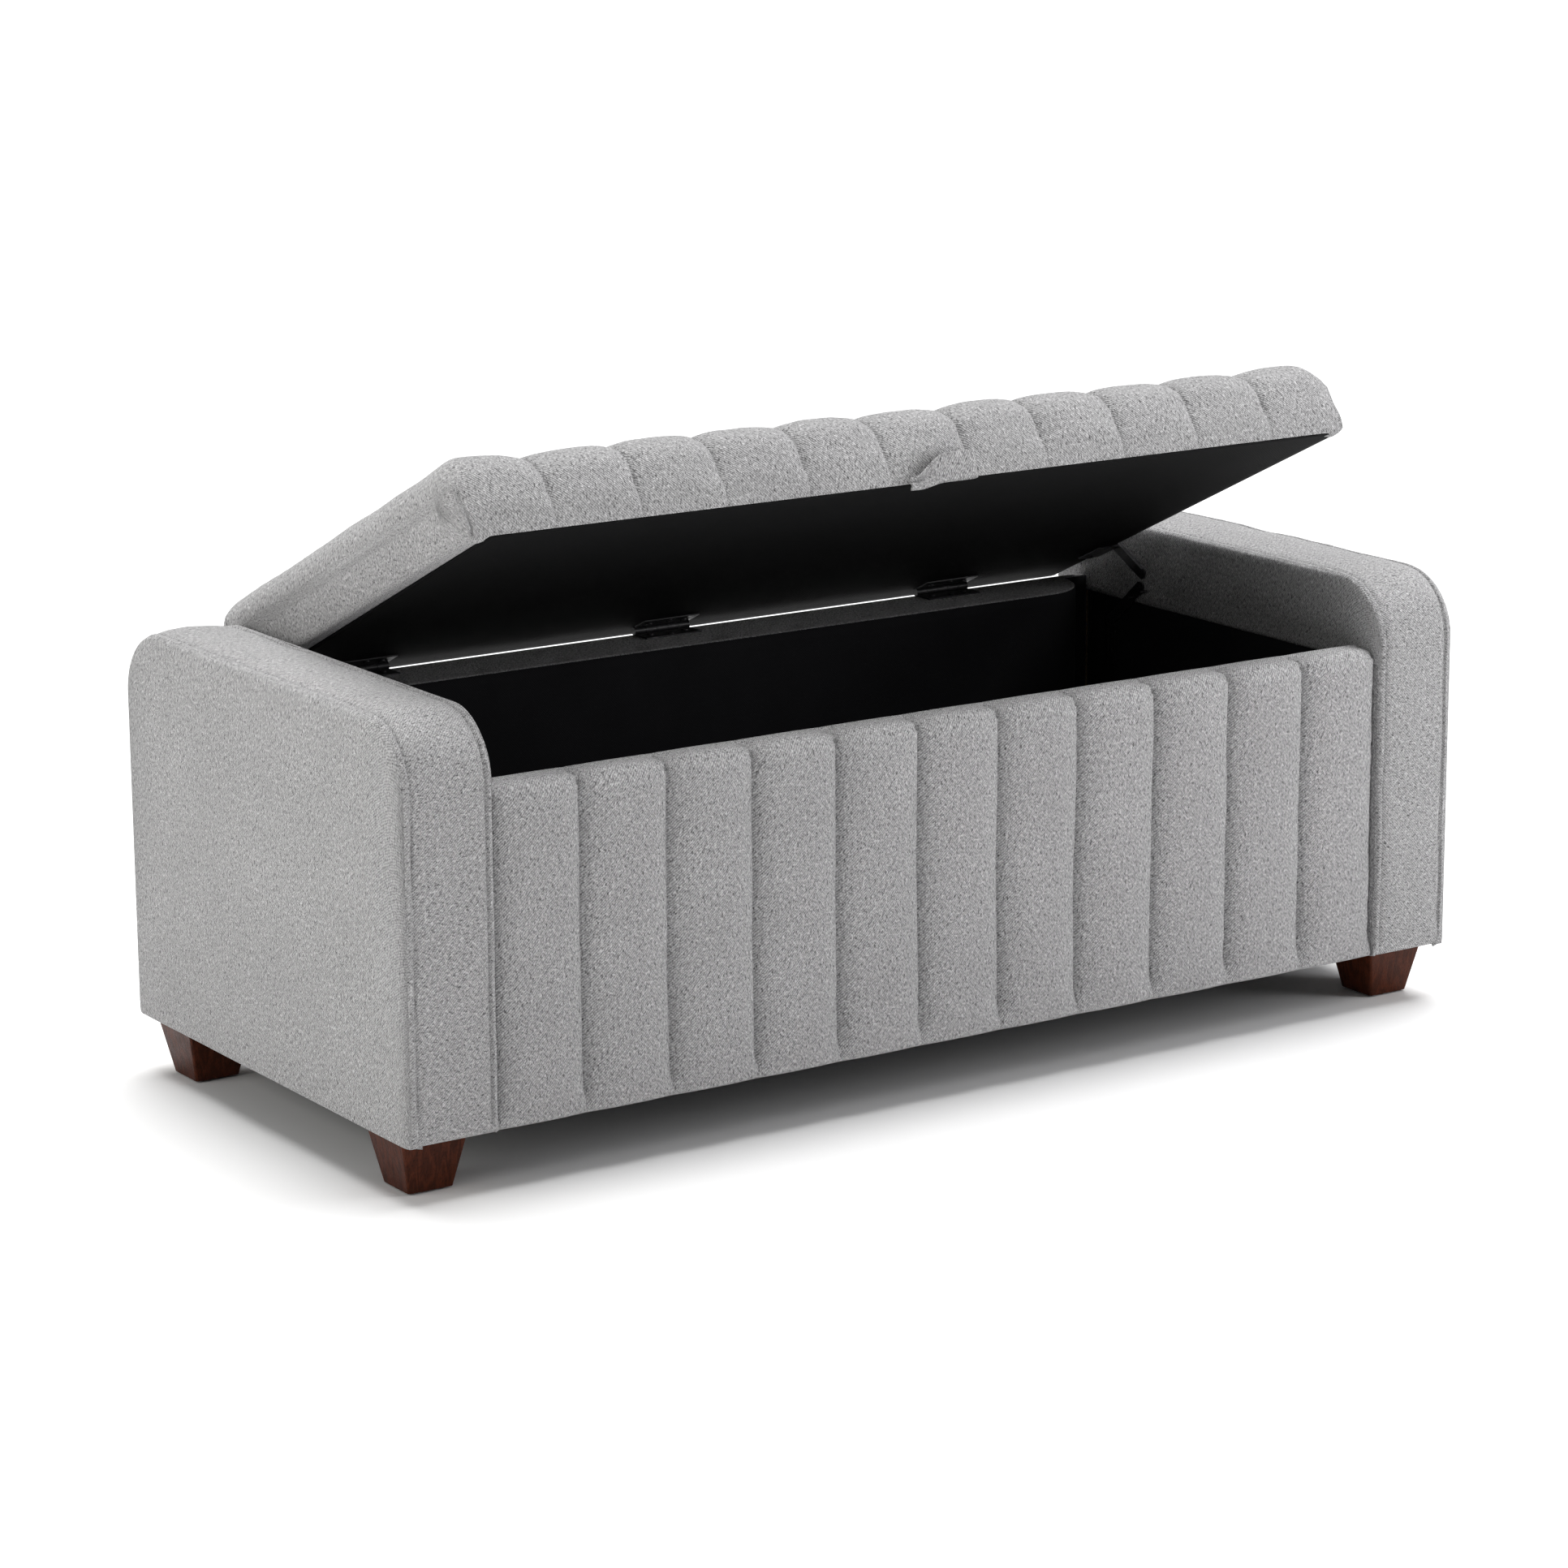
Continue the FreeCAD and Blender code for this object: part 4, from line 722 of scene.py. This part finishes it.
for side, arm in ((-1.0, "left"), (1.0, "right")):
    seed = 40 if side < 0 else 60
    arm_middle = (side * 0.598, 0.0, 0.26)

    # band
    path, normal = arm_line(band_stations)
    run, across = np.meshgrid(band_stations, band_across, indexing="ij")
    share = across / band_width
    lift = band_crown * (1 - np.abs(2 * share - 1) ** 4)
    lift = lift + seam_ridge(across) + seam_ridge(band_width - across)
    on_top = smooth_step(path[:, 1], arm_top - arm_corner, arm_top - 0.01)[:, None]
    fall_off = smooth_step(across, band_width - 0.036, band_width)
    lift = lift + on_top * (-0.0020 + 0.0040 * smooth_step(share, 0.0, 0.6) - 0.0032 * fall_off**1.5)
    lift = lift + 0.0007 * ripple(run, across, 0.11, seed) + 0.00025 * ripple(run, across, 0.028, seed + 1)
    hem = smooth_step(np.minimum(run, arm_length - run), arm_hem - 0.004, arm_hem + 0.02)
    lift = lift * hem
    points = np.empty(run.shape + (3,))
    points[..., 0] = side * (inner_seam + across)
    points[..., 1] = path[:, None, 0] + normal[:, None, 0] * lift
    points[..., 2] = path[:, None, 1] + normal[:, None, 1] * lift
    band = grid_piece(f"{arm}_arm_band", points, tweed, arm_middle)
    thicken(band, tweed_thick)

    # outer side panel
    quarter = np.linspace(0, math.pi / 2, 34)
    rows = np.concatenate([1 - np.cos(quarter[:-1]), 1 + np.sin(quarter)]) / 2
    over = np.clip(np.abs(outer_columns) - corner_centre, 0, arm_corner)
    edge_z = arm_top - arm_corner + np.sqrt(np.maximum(arm_corner**2 - over**2, 0))
    y, share = np.meshgrid(outer_columns, rows, indexing="ij")
    z = arm_bottom + (edge_z[:, None] - arm_bottom) * share
    past_y = np.maximum(np.abs(y) - corner_centre, 0)
    past_z = np.maximum(z - (arm_top - arm_corner), 0)
    corner_reach = np.maximum(np.hypot(past_y, past_z), 1e-6)
    to_side = arm_back - np.abs(y)
    from_edge = np.where(past_z > 0, arm_corner - corner_reach, to_side)
    towards_top = np.where(past_z > 0, past_z / corner_reach, 0.0)
    edge_roll = panel_edge_roll + (panel_top_roll - panel_edge_roll) * towards_top**2
    roll = quarter_round(from_edge, edge_roll)
    low_roll = quarter_round(z - arm_bottom, panel_low_roll)
    swell = panel_belly * (1 - (y / arm_back) ** 2) * (1 - ((z - panel_middle_z) / panel_reach) ** 2)
    unevenness = 0.0011 * ripple(y, z, 0.17, seed + 2) + 0.0003 * ripple(y, z, 0.035, seed + 3)
    level_share = smooth_step(from_edge, 0.0, 0.05) * low_roll
    out_x = outer_seam - 0.0012 + 0.0057 * roll * (0.6 + 0.4 * low_roll)
    out_x = out_x + (swell + unevenness) * level_share
    drop = 0.0012 * towards_top**2 * np.clip(1 - from_edge / 0.02, 0, 1) ** 2
    skin = np.stack([out_x, y, z - drop], -1)
    skin = np.concatenate([skin[:1], skin, skin[-1:]], 0)
    skin = np.concatenate([skin[:, :1], skin, skin[:, -1:]], 1)
    skin[[0, -1], :, 0] -= panel_turn_in
    skin[:, [0, -1], 0] = np.minimum(skin[:, [0, -1], 0], outer_seam - panel_turn_in)
    outer_panel = grid_piece(f"{arm}_arm_outer_side", skin * (side, 1.0, 1.0), tweed, arm_middle)
    thicken(outer_panel, tweed_thick)

    # inner side panel, above the lining
    rows = np.concatenate([np.linspace(0, 0.72, 22), 1 - 0.28 * np.cos(np.linspace(0, math.pi / 2, 14)[1:])])
    over = np.clip(np.abs(inner_columns) - corner_centre, 0, arm_corner)
    edge_z = arm_top - arm_corner + np.sqrt(np.maximum(arm_corner**2 - over**2, 0)) - 0.0006
    y, share = np.meshgrid(inner_columns, rows, indexing="ij")
    z = inner_panel_bottom + (edge_z[:, None] - inner_panel_bottom) * share
    past_y = np.maximum(np.abs(y) - corner_centre, 0)
    past_z = np.maximum(z - (arm_top - arm_corner), 0)
    from_edge = np.where(past_y > 0, arm_corner - np.hypot(past_y, past_z), arm_top - z)
    roll = quarter_round(from_edge, inner_roll)
    tuck = 0.0016 * np.exp(-(z - inner_panel_bottom) / 0.0012)
    in_x = inner_face + 0.0032 * (1 - roll) + tuck - 0.0005 * ripple(y, z, 0.09, seed + 4) * roll
    points = np.stack([side * in_x, y, z], -1)
    inner_panel = grid_piece(f"{arm}_arm_inner_side", points, tweed, arm_middle)
    thicken(inner_panel, tweed_thick)

    # the same panel down to the bottom, behind the bench's back and beside the front pad
    inner_ends = []
    end_spans = (("rear", inner_rear_start, arm_back, 0.0), ("front", pad_rear, -arm_back, 0.0012))
    for place, nearest, edge, gap in end_spans:
        y, z = np.meshgrid(
            np.linspace(nearest, edge - 0.0008 * np.sign(edge), 14),
            np.linspace(arm_bottom + 0.0003, inner_panel_bottom + 0.002, 50),
            indexing="ij",
        )
        edge_share = np.clip(1 - np.abs(edge - y) / inner_roll, 0, 1)
        in_x = inner_face + gap + 0.0032 * edge_share**2 - 0.0003 * ripple(y, z, 0.09, seed + 4)
        points = np.stack([side * in_x, y, z], -1)
        inner_end = grid_piece(f"{arm}_arm_inner_{place}", points, tweed, arm_middle)
        thicken(inner_end, tweed_thick)
        inner_ends.append(inner_end)

    upholster(band, "carcass", f"{arm}_arm_band_cover")
    upholster(outer_panel, "carcass", f"{arm}_arm_outer_cover")
    for piece in (inner_panel, *inner_ends):
        upholster(piece, "carcass", f"{arm}_arm_inner_cover")


# ----------------------------------------
# Front pad
# Foam on the front board under tweed that is stitched through in upright channels. It is turned
# over the board's top edge into the storage space, and under the carcass at the bottom.
# ----------------------------------------

channel_count = 11


def channel_stations(low, high, per_channel):
    """Places along X, closest at the stitch lines: half a cosine over each channel."""
    lines = np.linspace(low, high, channel_count + 1)
    ease = 0.5 - 0.5 * np.cos(np.linspace(0, math.pi, per_channel + 1)[:-1])
    return np.append((lines[:-1, None] + np.diff(lines)[:, None] * ease).ravel(), high)


def channel_swell(x, low, high, fullness):
    """0 at a stitch line and 1 in the middle of a channel: 1 - |2t - 1|^fullness."""
    t = np.clip((x - low) / (high - low), 0, 1) * channel_count
    t = t - np.floor(np.minimum(t, channel_count - 1e-9))
    return 1 - np.abs(2 * t - 1) ** fullness


def stitch_distance(x, low, high):
    """Distance along X to the nearest stitch line."""
    pitch = (high - low) / channel_count
    t = (x - low) / pitch
    return np.abs(t - np.round(t)) * pitch


def closed_stations(length, steps):
    """Even stations round a closed line, without its last point."""
    return np.linspace(0, length, steps, endpoint=False)


pad_low, pad_high = corners_of("front_pad")
board_low, board_high = corners_of("front_board")
pad_front, pad_back, pad_top, pad_bottom = pad_low[1], pad_high[1], pad_high[2], pad_low[2]
pad_end = pad_high[0] + 0.0009
board_face = board_low[1]
pad_groove = 0.0085
pad_crest = 0.0022
pad_crease = 0.0022
pad_line, pad_length = rounded_path(
    [
        (board_face, 0.2),
        (board_face, board_high[2]),
        (pad_back, board_high[2]),
        (pad_back, pad_top),
        (pad_front, pad_top),
        (pad_front, pad_bottom),
        (board_face, pad_bottom),
        (board_face, 0.2),
    ],
    [0.0005, 0.0005, 0.004, 0.017, 0.007, 0.0005],
)
pad_stations = closed_stations(pad_length, 300)
pad_across = channel_stations(-pad_end, pad_end, 16)
path, normal = pad_line(pad_stations)
x, run = np.meshgrid(pad_across, pad_stations, indexing="ij")
y, z = (np.broadcast_to(path[:, axis], x.shape) for axis in (0, 1))
facing_front = np.abs(normal[:, 0]) * (path[:, 0] < board_face - 0.002)
facing_up = np.abs(normal[:, 1]) * (path[:, 1] > board_high[2] + 0.001)
top_share = facing_up * smooth_step(-path[:, 0], -pad_back, -pad_back + 0.012)
bottom_fade = 0.25 + 0.75 * smooth_step(path[:, 1], pad_bottom, pad_bottom + 0.03)
depth = (facing_front * bottom_fade + 0.45 * top_share)[None, :]
swell = channel_swell(x, -pad_end, pad_end, 3.4)
near = stitch_distance(x, -pad_end, pad_end)
lift = depth * (-pad_groove + (pad_groove + pad_crest) * swell)
lift -= depth * pad_crease * np.exp(-((near / 0.0016) ** 2))
pucker = np.exp(-near / 0.012) * (1 - np.exp(-near / 0.002))
lift += depth * 0.0011 * pucker * ripple(x * 0.25, run, 0.02, 81)
lift += depth * (0.0008 * ripple(x, run, 0.12, 82) + 0.0002 * ripple(x, run, 0.03, 83))
drift = 0.0011 * ripple(x, run, 0.3, 84) * (1 - (x / pad_end) ** 8)
if normal[np.argmin(path[:, 0])][0] > 0:
    normal = -normal
points = np.stack([x + drift * depth, y + normal[None, :, 0] * lift, z + normal[None, :, 1] * lift], -1)
front_pad = grid_piece(
    "front_channel_pad", points, tweed, (0.0, board_face, 0.2), closed_across=True, end_faces=True
)
upholster(front_pad, "carcass", "front_pad")


# ----------------------------------------
# Back cover
# Plain tweed over thin padding, from under the carcass up the back and over the hinge rail. The
# rail's top is stapled through, which leaves shallow dimples.
# ----------------------------------------

back_low, back_high = corners_of("back_cover")
back_board_low, back_board_high = corners_of("back_board")
rail_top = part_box("hinge_rail")[1][2]
back_inner, back_face, back_top, back_bottom = back_low[1], back_high[1], back_high[2], back_low[2]
back_end = back_high[0] + 0.0004
rail_rear = back_board_low[1] + 0.0005
back_line, back_length = rounded_path(
    [
        (back_board_high[1], 0.2),
        (back_board_high[1], rail_top),
        (back_inner, rail_top),
        (back_inner, back_top),
        (back_face, back_top),
        (back_face, back_bottom),
        (back_board_high[1], back_bottom),
        (back_board_high[1], 0.2),
    ],
    [0.0005, 0.0005, 0.003, 0.009, 0.005, 0.0005],
)
back_stations = closed_stations(back_length, 320)
back_across = np.linspace(-back_end, back_end, 240)
path, normal = back_line(back_stations)
if normal[np.argmax(path[:, 0])][0] < 0:
    normal = -normal
x, run = np.meshgrid(back_across, back_stations, indexing="ij")
on_rail = (path[:, 1] > back_top - 0.0008) & (path[:, 0] < back_face - 0.006)
on_back = (path[:, 0] > back_face - 0.0008) * smooth_step(back_top - 0.03 - path[:, 1], 0.0, 0.08)
on_back = on_back * smooth_step(path[:, 1], back_bottom, back_bottom + 0.05)
dimple_pitch = 0.0985
dimple_x = np.abs(x / dimple_pitch - np.round(x / dimple_pitch)) * dimple_pitch
dimple = np.exp(-((dimple_x / 0.012) ** 2) - ((path[None, :, 0] - back_inner - 0.02) / 0.010) ** 2)
lift = -1.0 * on_rail[None, :] * (0.0016 * dimple + 0.0003 * np.abs(ripple(x, run, 0.06, 91)))
puff = 0.0020 + 0.0011 * ripple(x, run, 0.2, 92) + 0.0003 * ripple(x, run, 0.05, 93)
lift = lift + on_back[None, :] * puff
y = path[None, :, 0] + normal[None, :, 0] * lift
z = path[None, :, 1] + normal[None, :, 1] * lift
rail_front = curtain_front(x) + 0.0022
on_rail_top = (y < rail_rear) & (y < back_board_low[1])
rail_shrink = (rail_rear - rail_front) / (rail_rear - back_inner)
y = np.where(on_rail_top, rail_front + (y - back_inner) * rail_shrink, y)
points = np.stack([x, y, z], -1)
back_cover = grid_piece(
    "back_cloth", points, tweed, (0.0, back_board_high[1], 0.2), closed_across=True, end_faces=True
)
upholster(back_cover, "carcass", "back_cover")


# ----------------------------------------
# Hinges
# Three black butt hinges of folded steel sheet on steel pins, screwed down through both covers.
# ----------------------------------------

black_steel, tree, shader = new_material("black_coated_steel", Specular_IOR_Level=0.5)
place = coordinates(tree, "Object")
marks = placed_group(tree, worn_finish, Vector=place)
coat = mix_colours(tree, marks["Clouds"], (0.008, 0.008, 0.009, 1), (0.022, 0.022, 0.024, 1))
coat = mix_colours(tree, calculate(tree, "MULTIPLY", marks["Scratches"], 0.5), coat, (0.16, 0.16, 0.165, 1))
tree.links.new(coat, shader.inputs["Base Color"])
tree.links.new(spread(tree, marks["Clouds"], 0.3, 0.7, 0.3, 0.48), shader.inputs["Roughness"])
raise_surface(tree, shader, noise(tree, place, 1800.0, 2.0), 0.00008)

for spot in ("left", "centre", "right"):
    for leaf in ("base_leaf", "lid_leaf"):
        finish_node(f"hinge_{leaf}_{spot}", black_steel)
for fixing in ("hinge_pins", "hinge_base_screws", "hinge_lid_screws"):
    finish_node(fixing, black_steel)


# ----------------------------------------
# Lid
# A plywood board with a thick foam slab on it, under tweed stitched in channels from front to
# back. The cloth is drawn round the board and stapled below, with a seam at each upright corner,
# and a black dust cover is stapled over its edges.
# ----------------------------------------

lid_angle = math.radians(25.0)
hinge_line = Vector(next(joint["pos_m"] for joint in frame["joints"] if joint["name"] == "lid_hinge"))


def open_lid(points):
    """Points of the shut lid, measured from the hinge line, turned up by the lid's angle."""
    y, z = points[..., 1], points[..., 2]
    turned_y = hinge_line[1] + y * math.cos(lid_angle) + z * math.sin(lid_angle)
    turned_z = hinge_line[2] - y * math.sin(lid_angle) + z * math.cos(lid_angle)
    return np.stack([points[..., 0], turned_y, turned_z], -1)


foam_stuff, tree, shader = new_material("cream_foam", Specular_IOR_Level=0.1, Subsurface_Weight=0.1)
place = coordinates(tree, "Object")
cells = noise(tree, place, 700.0, 3.0, 0.7)
tree.links.new(
    mix_colours(tree, cells, (0.6, 0.54, 0.38, 1), (0.84, 0.79, 0.62, 1)), shader.inputs["Base Color"]
)
tree.links.new(spread(tree, cells, 0.3, 0.7, 0.98, 0.88), shader.inputs["Roughness"])
raise_surface(tree, shader, cells, 0.0008)
finish_node("lid_board", bare_wood)

lid_half = 0.536
lid_front, lid_rear = -0.527, 0.040
lid_bottom, lid_top = 0.0043, 0.0903
lid_groove = 0.0026
lid_crest = 0.0020
lid_crease = 0.0017
corner_crease = 0.0019
dust_left, dust_right = -0.514, 0.530
dust_front, dust_rear = lid_front + 0.0045, lid_rear - 0.008
dust_recess = 0.0016
lid_line, lid_length = rounded_path(
    [
        (-0.24, lid_bottom),
        (lid_front + 0.0024, lid_bottom),
        (lid_front - 0.0006, lid_bottom + 0.027),
        (lid_front + 0.0065, lid_bottom + 0.066),
        (lid_front + 0.036, lid_top),
        (lid_rear - 0.020, lid_top),
        (lid_rear, lid_top - 0.020),
        (lid_rear, lid_bottom),
        (-0.24, lid_bottom),
    ],
    [0.003, 0.060, 0.032, 0.055, 0.020, 0.020, 0.004],
)
lid_stations = closed_stations(lid_length, 330)
path, normal = lid_line(lid_stations)
if normal[np.argmax(path[:, 1])][1] < 0:
    normal = -normal

# the ends: rows that turn in over the edge, then close on a line in the middle of the end face
cap_turn = np.linspace(0, math.pi / 2, 12)[1:]
cap_close = np.linspace(0, 1, 7)[1:]
cap_depth = 0.026
middle_rows = channel_stations(-lid_half, lid_half, 16)
middle_rows = middle_rows[np.abs(middle_rows) < lid_half - cap_depth]
rim_rows = lid_half - cap_depth + cap_depth * np.concatenate([[0.0], np.sin(cap_turn)])
cap_share = np.concatenate([[0.0], 1 - np.cos(cap_turn)])
end_rows = np.full(len(cap_close), lid_half)
row_x = np.concatenate([-end_rows, -rim_rows[::-1], middle_rows, rim_rows, end_rows])
plain, ends = np.zeros(len(middle_rows)), np.ones(len(cap_close))
row_cap = np.concatenate([ends, cap_share[::-1], plain, cap_share, ends])[:, None]
no_close = np.zeros(len(rim_rows) * 2 + len(middle_rows))
row_close = np.concatenate([cap_close[::-1], no_close, cap_close])[:, None]

x, run = np.meshgrid(row_x, lid_stations, indexing="ij")
facing_up = np.clip(normal[:, 1], 0, 1)
facing_down = np.clip(-normal[:, 1], 0, 1)
facing_front = np.clip(-normal[:, 0], 0, 1)
facing_rear = np.clip(normal[:, 0], 0, 1)
above = smooth_step(path[:, 1], lid_bottom + 0.010, lid_bottom + 0.034)
depth = ((facing_up + facing_front * above) * (facing_down < 0.5))[None, :]
rear_depth = (facing_rear * above)[None, :]

# channels; the two outer ones run on into the ends without a stitch line there
inner_line = np.abs(np.abs(x) - lid_half * (1 - 2 / channel_count))
outer_swell = 1 - (1 - np.clip(inner_line / (lid_half / channel_count), 0, 1)) ** 3.0
is_outer = np.abs(x) > lid_half * (1 - 2 / channel_count)
swell = np.where(is_outer, outer_swell, channel_swell(x, -lid_half, lid_half, 3.0))
near = np.where(is_outer, inner_line, stitch_distance(x, -lid_half, lid_half))
end_fade = 0.35 + 0.65 * smooth_step(lid_half - np.abs(x), 0.0, 0.03)
lift = depth * (-lid_groove + (lid_groove + lid_crest) * swell * end_fade)
creased = (facing_up + facing_front) * (facing_down < 0.5)
lift = lift - creased[None, :] * lid_crease * np.exp(-((near / 0.0017) ** 2))
lift = lift + rear_depth * 0.006 * (swell - 1)
pucker = np.exp(-near / 0.013) * (1 - np.exp(-near / 0.002))
lift = lift + depth * 0.0012 * pucker * ripple(x * 0.25, run, 0.022, 101)
lift = lift + depth * (0.0010 * ripple(x, run, 0.13, 102) + 0.00025 * ripple(x, run, 0.03, 103))
under = (facing_down > 0.98) & (path[:, 0] > dust_front) & (path[:, 0] < dust_rear)
under = under[None, :] & (x > dust_left) & (x < dust_right - 0.004)
lift = np.where(under, -dust_recess, lift)

# ends: rolled edges, a seam's crease up each front corner, and a slight belly towards the front
roll = 0.030 * facing_up**2 + (0.006 * facing_front**2 + 0.014 * facing_rear**2) * above
low_round = 0.006
past_low = np.clip((np.abs(x) - (lid_half - low_round)) / low_round, 0, 1)
low_inset = low_round * (1 - np.sqrt(np.maximum(1 - past_low**2, 0))) * (facing_down**2)[None, :]
inset = row_cap * roll[None, :] + low_inset
y = path[None, :, 0] + normal[None, :, 0] * (lift - inset)
z = path[None, :, 1] + normal[None, :, 1] * (lift - inset)
centre_y = np.clip(path[:, 0], lid_front + 0.045, lid_rear - 0.045)[None, :]
centre_z = lid_bottom + 0.040
y = y + (centre_y - y) * row_close
z = z + (centre_z - z) * row_close
crease = corner_crease * np.exp(-(((row_cap - 0.6) / 0.12) ** 2)) * (facing_front**2)[None, :]
crease = crease * (row_close < 0.01)
y = y + crease
lean = 0.0010 * smooth_step(-z, -(lid_bottom + 0.026), -lid_bottom) * row_cap
belly = 0.0032 * smooth_step(row_close, 0.0, 0.6) * smooth_step(-y, 0.17, 0.27)
unevenness = 0.0007 * np.abs(ripple(y, z, 0.1, 104)) * smooth_step(row_close, 0.05, 0.5)
skin = np.stack([x - np.sign(x) * (lean + crease + unevenness - belly), y, z], -1)

# the folded corners of the cloth under the front
for corner_x in (-lid_half + 0.014, lid_half - 0.014):
    from_corner = (skin[..., 0] - corner_x) ** 2 + (skin[..., 1] - lid_front - 0.012) ** 2
    skin[..., 2] -= 0.0030 * np.exp(-from_corner / 0.008**2) * (skin[..., 2] < lid_bottom + 0.012)

lid_middle = tuple(open_lid(np.array([0.0, -0.24, 0.045])))
lid_cover = grid_piece(
    "lid_channel_cover", open_lid(skin), tweed, lid_middle, closed_across=True, weld=True
)
upholster(lid_cover, "lid", "lid_cover")

# foam slab: the cover's shape about 5 mm further in, flat on the board
board_top = 0.0213
foam_share = 0.88
foam_y = centre_y + (skin[..., 1] - centre_y) * foam_share
foam_z = np.maximum(centre_z + (skin[..., 2] - centre_z) * foam_share, board_top)
foam_x = skin[..., 0] - np.sign(x) * 0.0045 * row_cap
foam = np.stack([foam_x, foam_y, foam_z], -1)
foam_slab = grid_piece(
    "lid_foam_slab", open_lid(foam), foam_stuff, lid_middle, closed_across=True, weld=True
)
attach(foam_slab, "lid")
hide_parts("lid_foam")

# dust cover, its right front corner cut off
share, b = np.meshgrid(np.linspace(0, 1, 120), np.linspace(dust_front, dust_rear, 64), indexing="ij")
cut_corner = 0.014 * np.clip(1 - (b - dust_front) / 0.014, 0, 1)
a = dust_left + share * (dust_right - cut_corner - dust_left)
from_edge = np.minimum(np.minimum(a - dust_left, dust_right - a), np.minimum(b - dust_front, dust_rear - b))
level = lid_bottom - 0.0004 + 0.00035 * smooth_step(from_edge, 0.0, 0.04) * (1 + ripple(a, b, 0.2, 111))
above_lid = tuple(open_lid(np.array([0.0, -0.24, 1.0])))
points = np.stack([a, b, level], -1)
lid_dust_cloth = grid_piece("lid_dust_cloth", open_lid(points), spun_cloth, above_lid)
thicken(lid_dust_cloth, 0.0012)
staple(lid_dust_cloth, "lid", "lid_dust_cover")


# ----------------------------------------
# Pull tab
# A doubled strap of the same tweed, stapled under the lid's front edge. It is turned up and
# sideways, so its open loop lies against the front.
# ----------------------------------------

tab_start, tab_end = -0.032, 0.047
tab_width = 0.028
tab_thick = 0.0022
loop_line, loop_length = rounded_path(
    [
        (tab_start, 0.0006),
        (tab_end, 0.0006),
        (tab_end + 0.0005, 0.0105),
        (tab_start + 0.034, 0.0085),
        (tab_start + 0.004, 0.0030),
    ],
    [0.0042, 0.0045, 0.03],
)
loop_stations = np.linspace(0, loop_length, 90)
loop, _ = loop_line(loop_stations)
along, width_share = np.meshgrid(loop[:, 0], np.linspace(0, 1, 26), indexing="ij")
out_from_face = np.broadcast_to(loop[:, 1:2], along.shape)
tied = smooth_step(-along, -(tab_start + 0.045), -(tab_start + 0.004))
rise = width_share * tab_width * (1 - 0.55 * tied)
fold = 0.0016 * np.sin(width_share * math.tau * 1.5 + along * 60.0) * tied
crush = 0.0009 * ripple(along, rise + out_from_face, 0.02, 121)
height = lid_bottom - 0.0035 - 0.004 * tied + rise
face_height = np.array([0.0043, 0.012, 0.0313, 0.06])
face_y = np.array([lid_front + 0.0024, lid_front + 0.001, lid_front - 0.0006, lid_front + 0.004])
face = np.interp(height, face_height, face_y) - 0.0050
points = np.stack([along, face - out_from_face - fold - crush * (out_from_face > 0.003), height], -1)
tab_middle = tuple(open_lid(np.array([0.005, lid_front - 0.0095, 0.012])))
pull_tab = grid_piece("lid_pull_tab", open_lid(points), tweed, tab_middle)
thicken(pull_tab, tab_thick)
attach(pull_tab, "lid")
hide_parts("pull_tab")


# ----------------------------------------
# Lid stays
# One at each end: a lower arm and an upper arm of black steel, riveted together at the elbow, to
# a plate on the side lining and to a bracket screwed under the lid's edge.
# ----------------------------------------

for side in ("left", "right"):
    for part in ("lower_arm", "elbow_rivet", "upper_arm", "lid_bracket"):
        finish_node(f"stay_{part}_{side}", black_steel)
for part in ("base_plates", "base_rivets", "base_screws", "lid_rivets", "lid_screws"):
    finish_node(f"stay_{part}", black_steel)
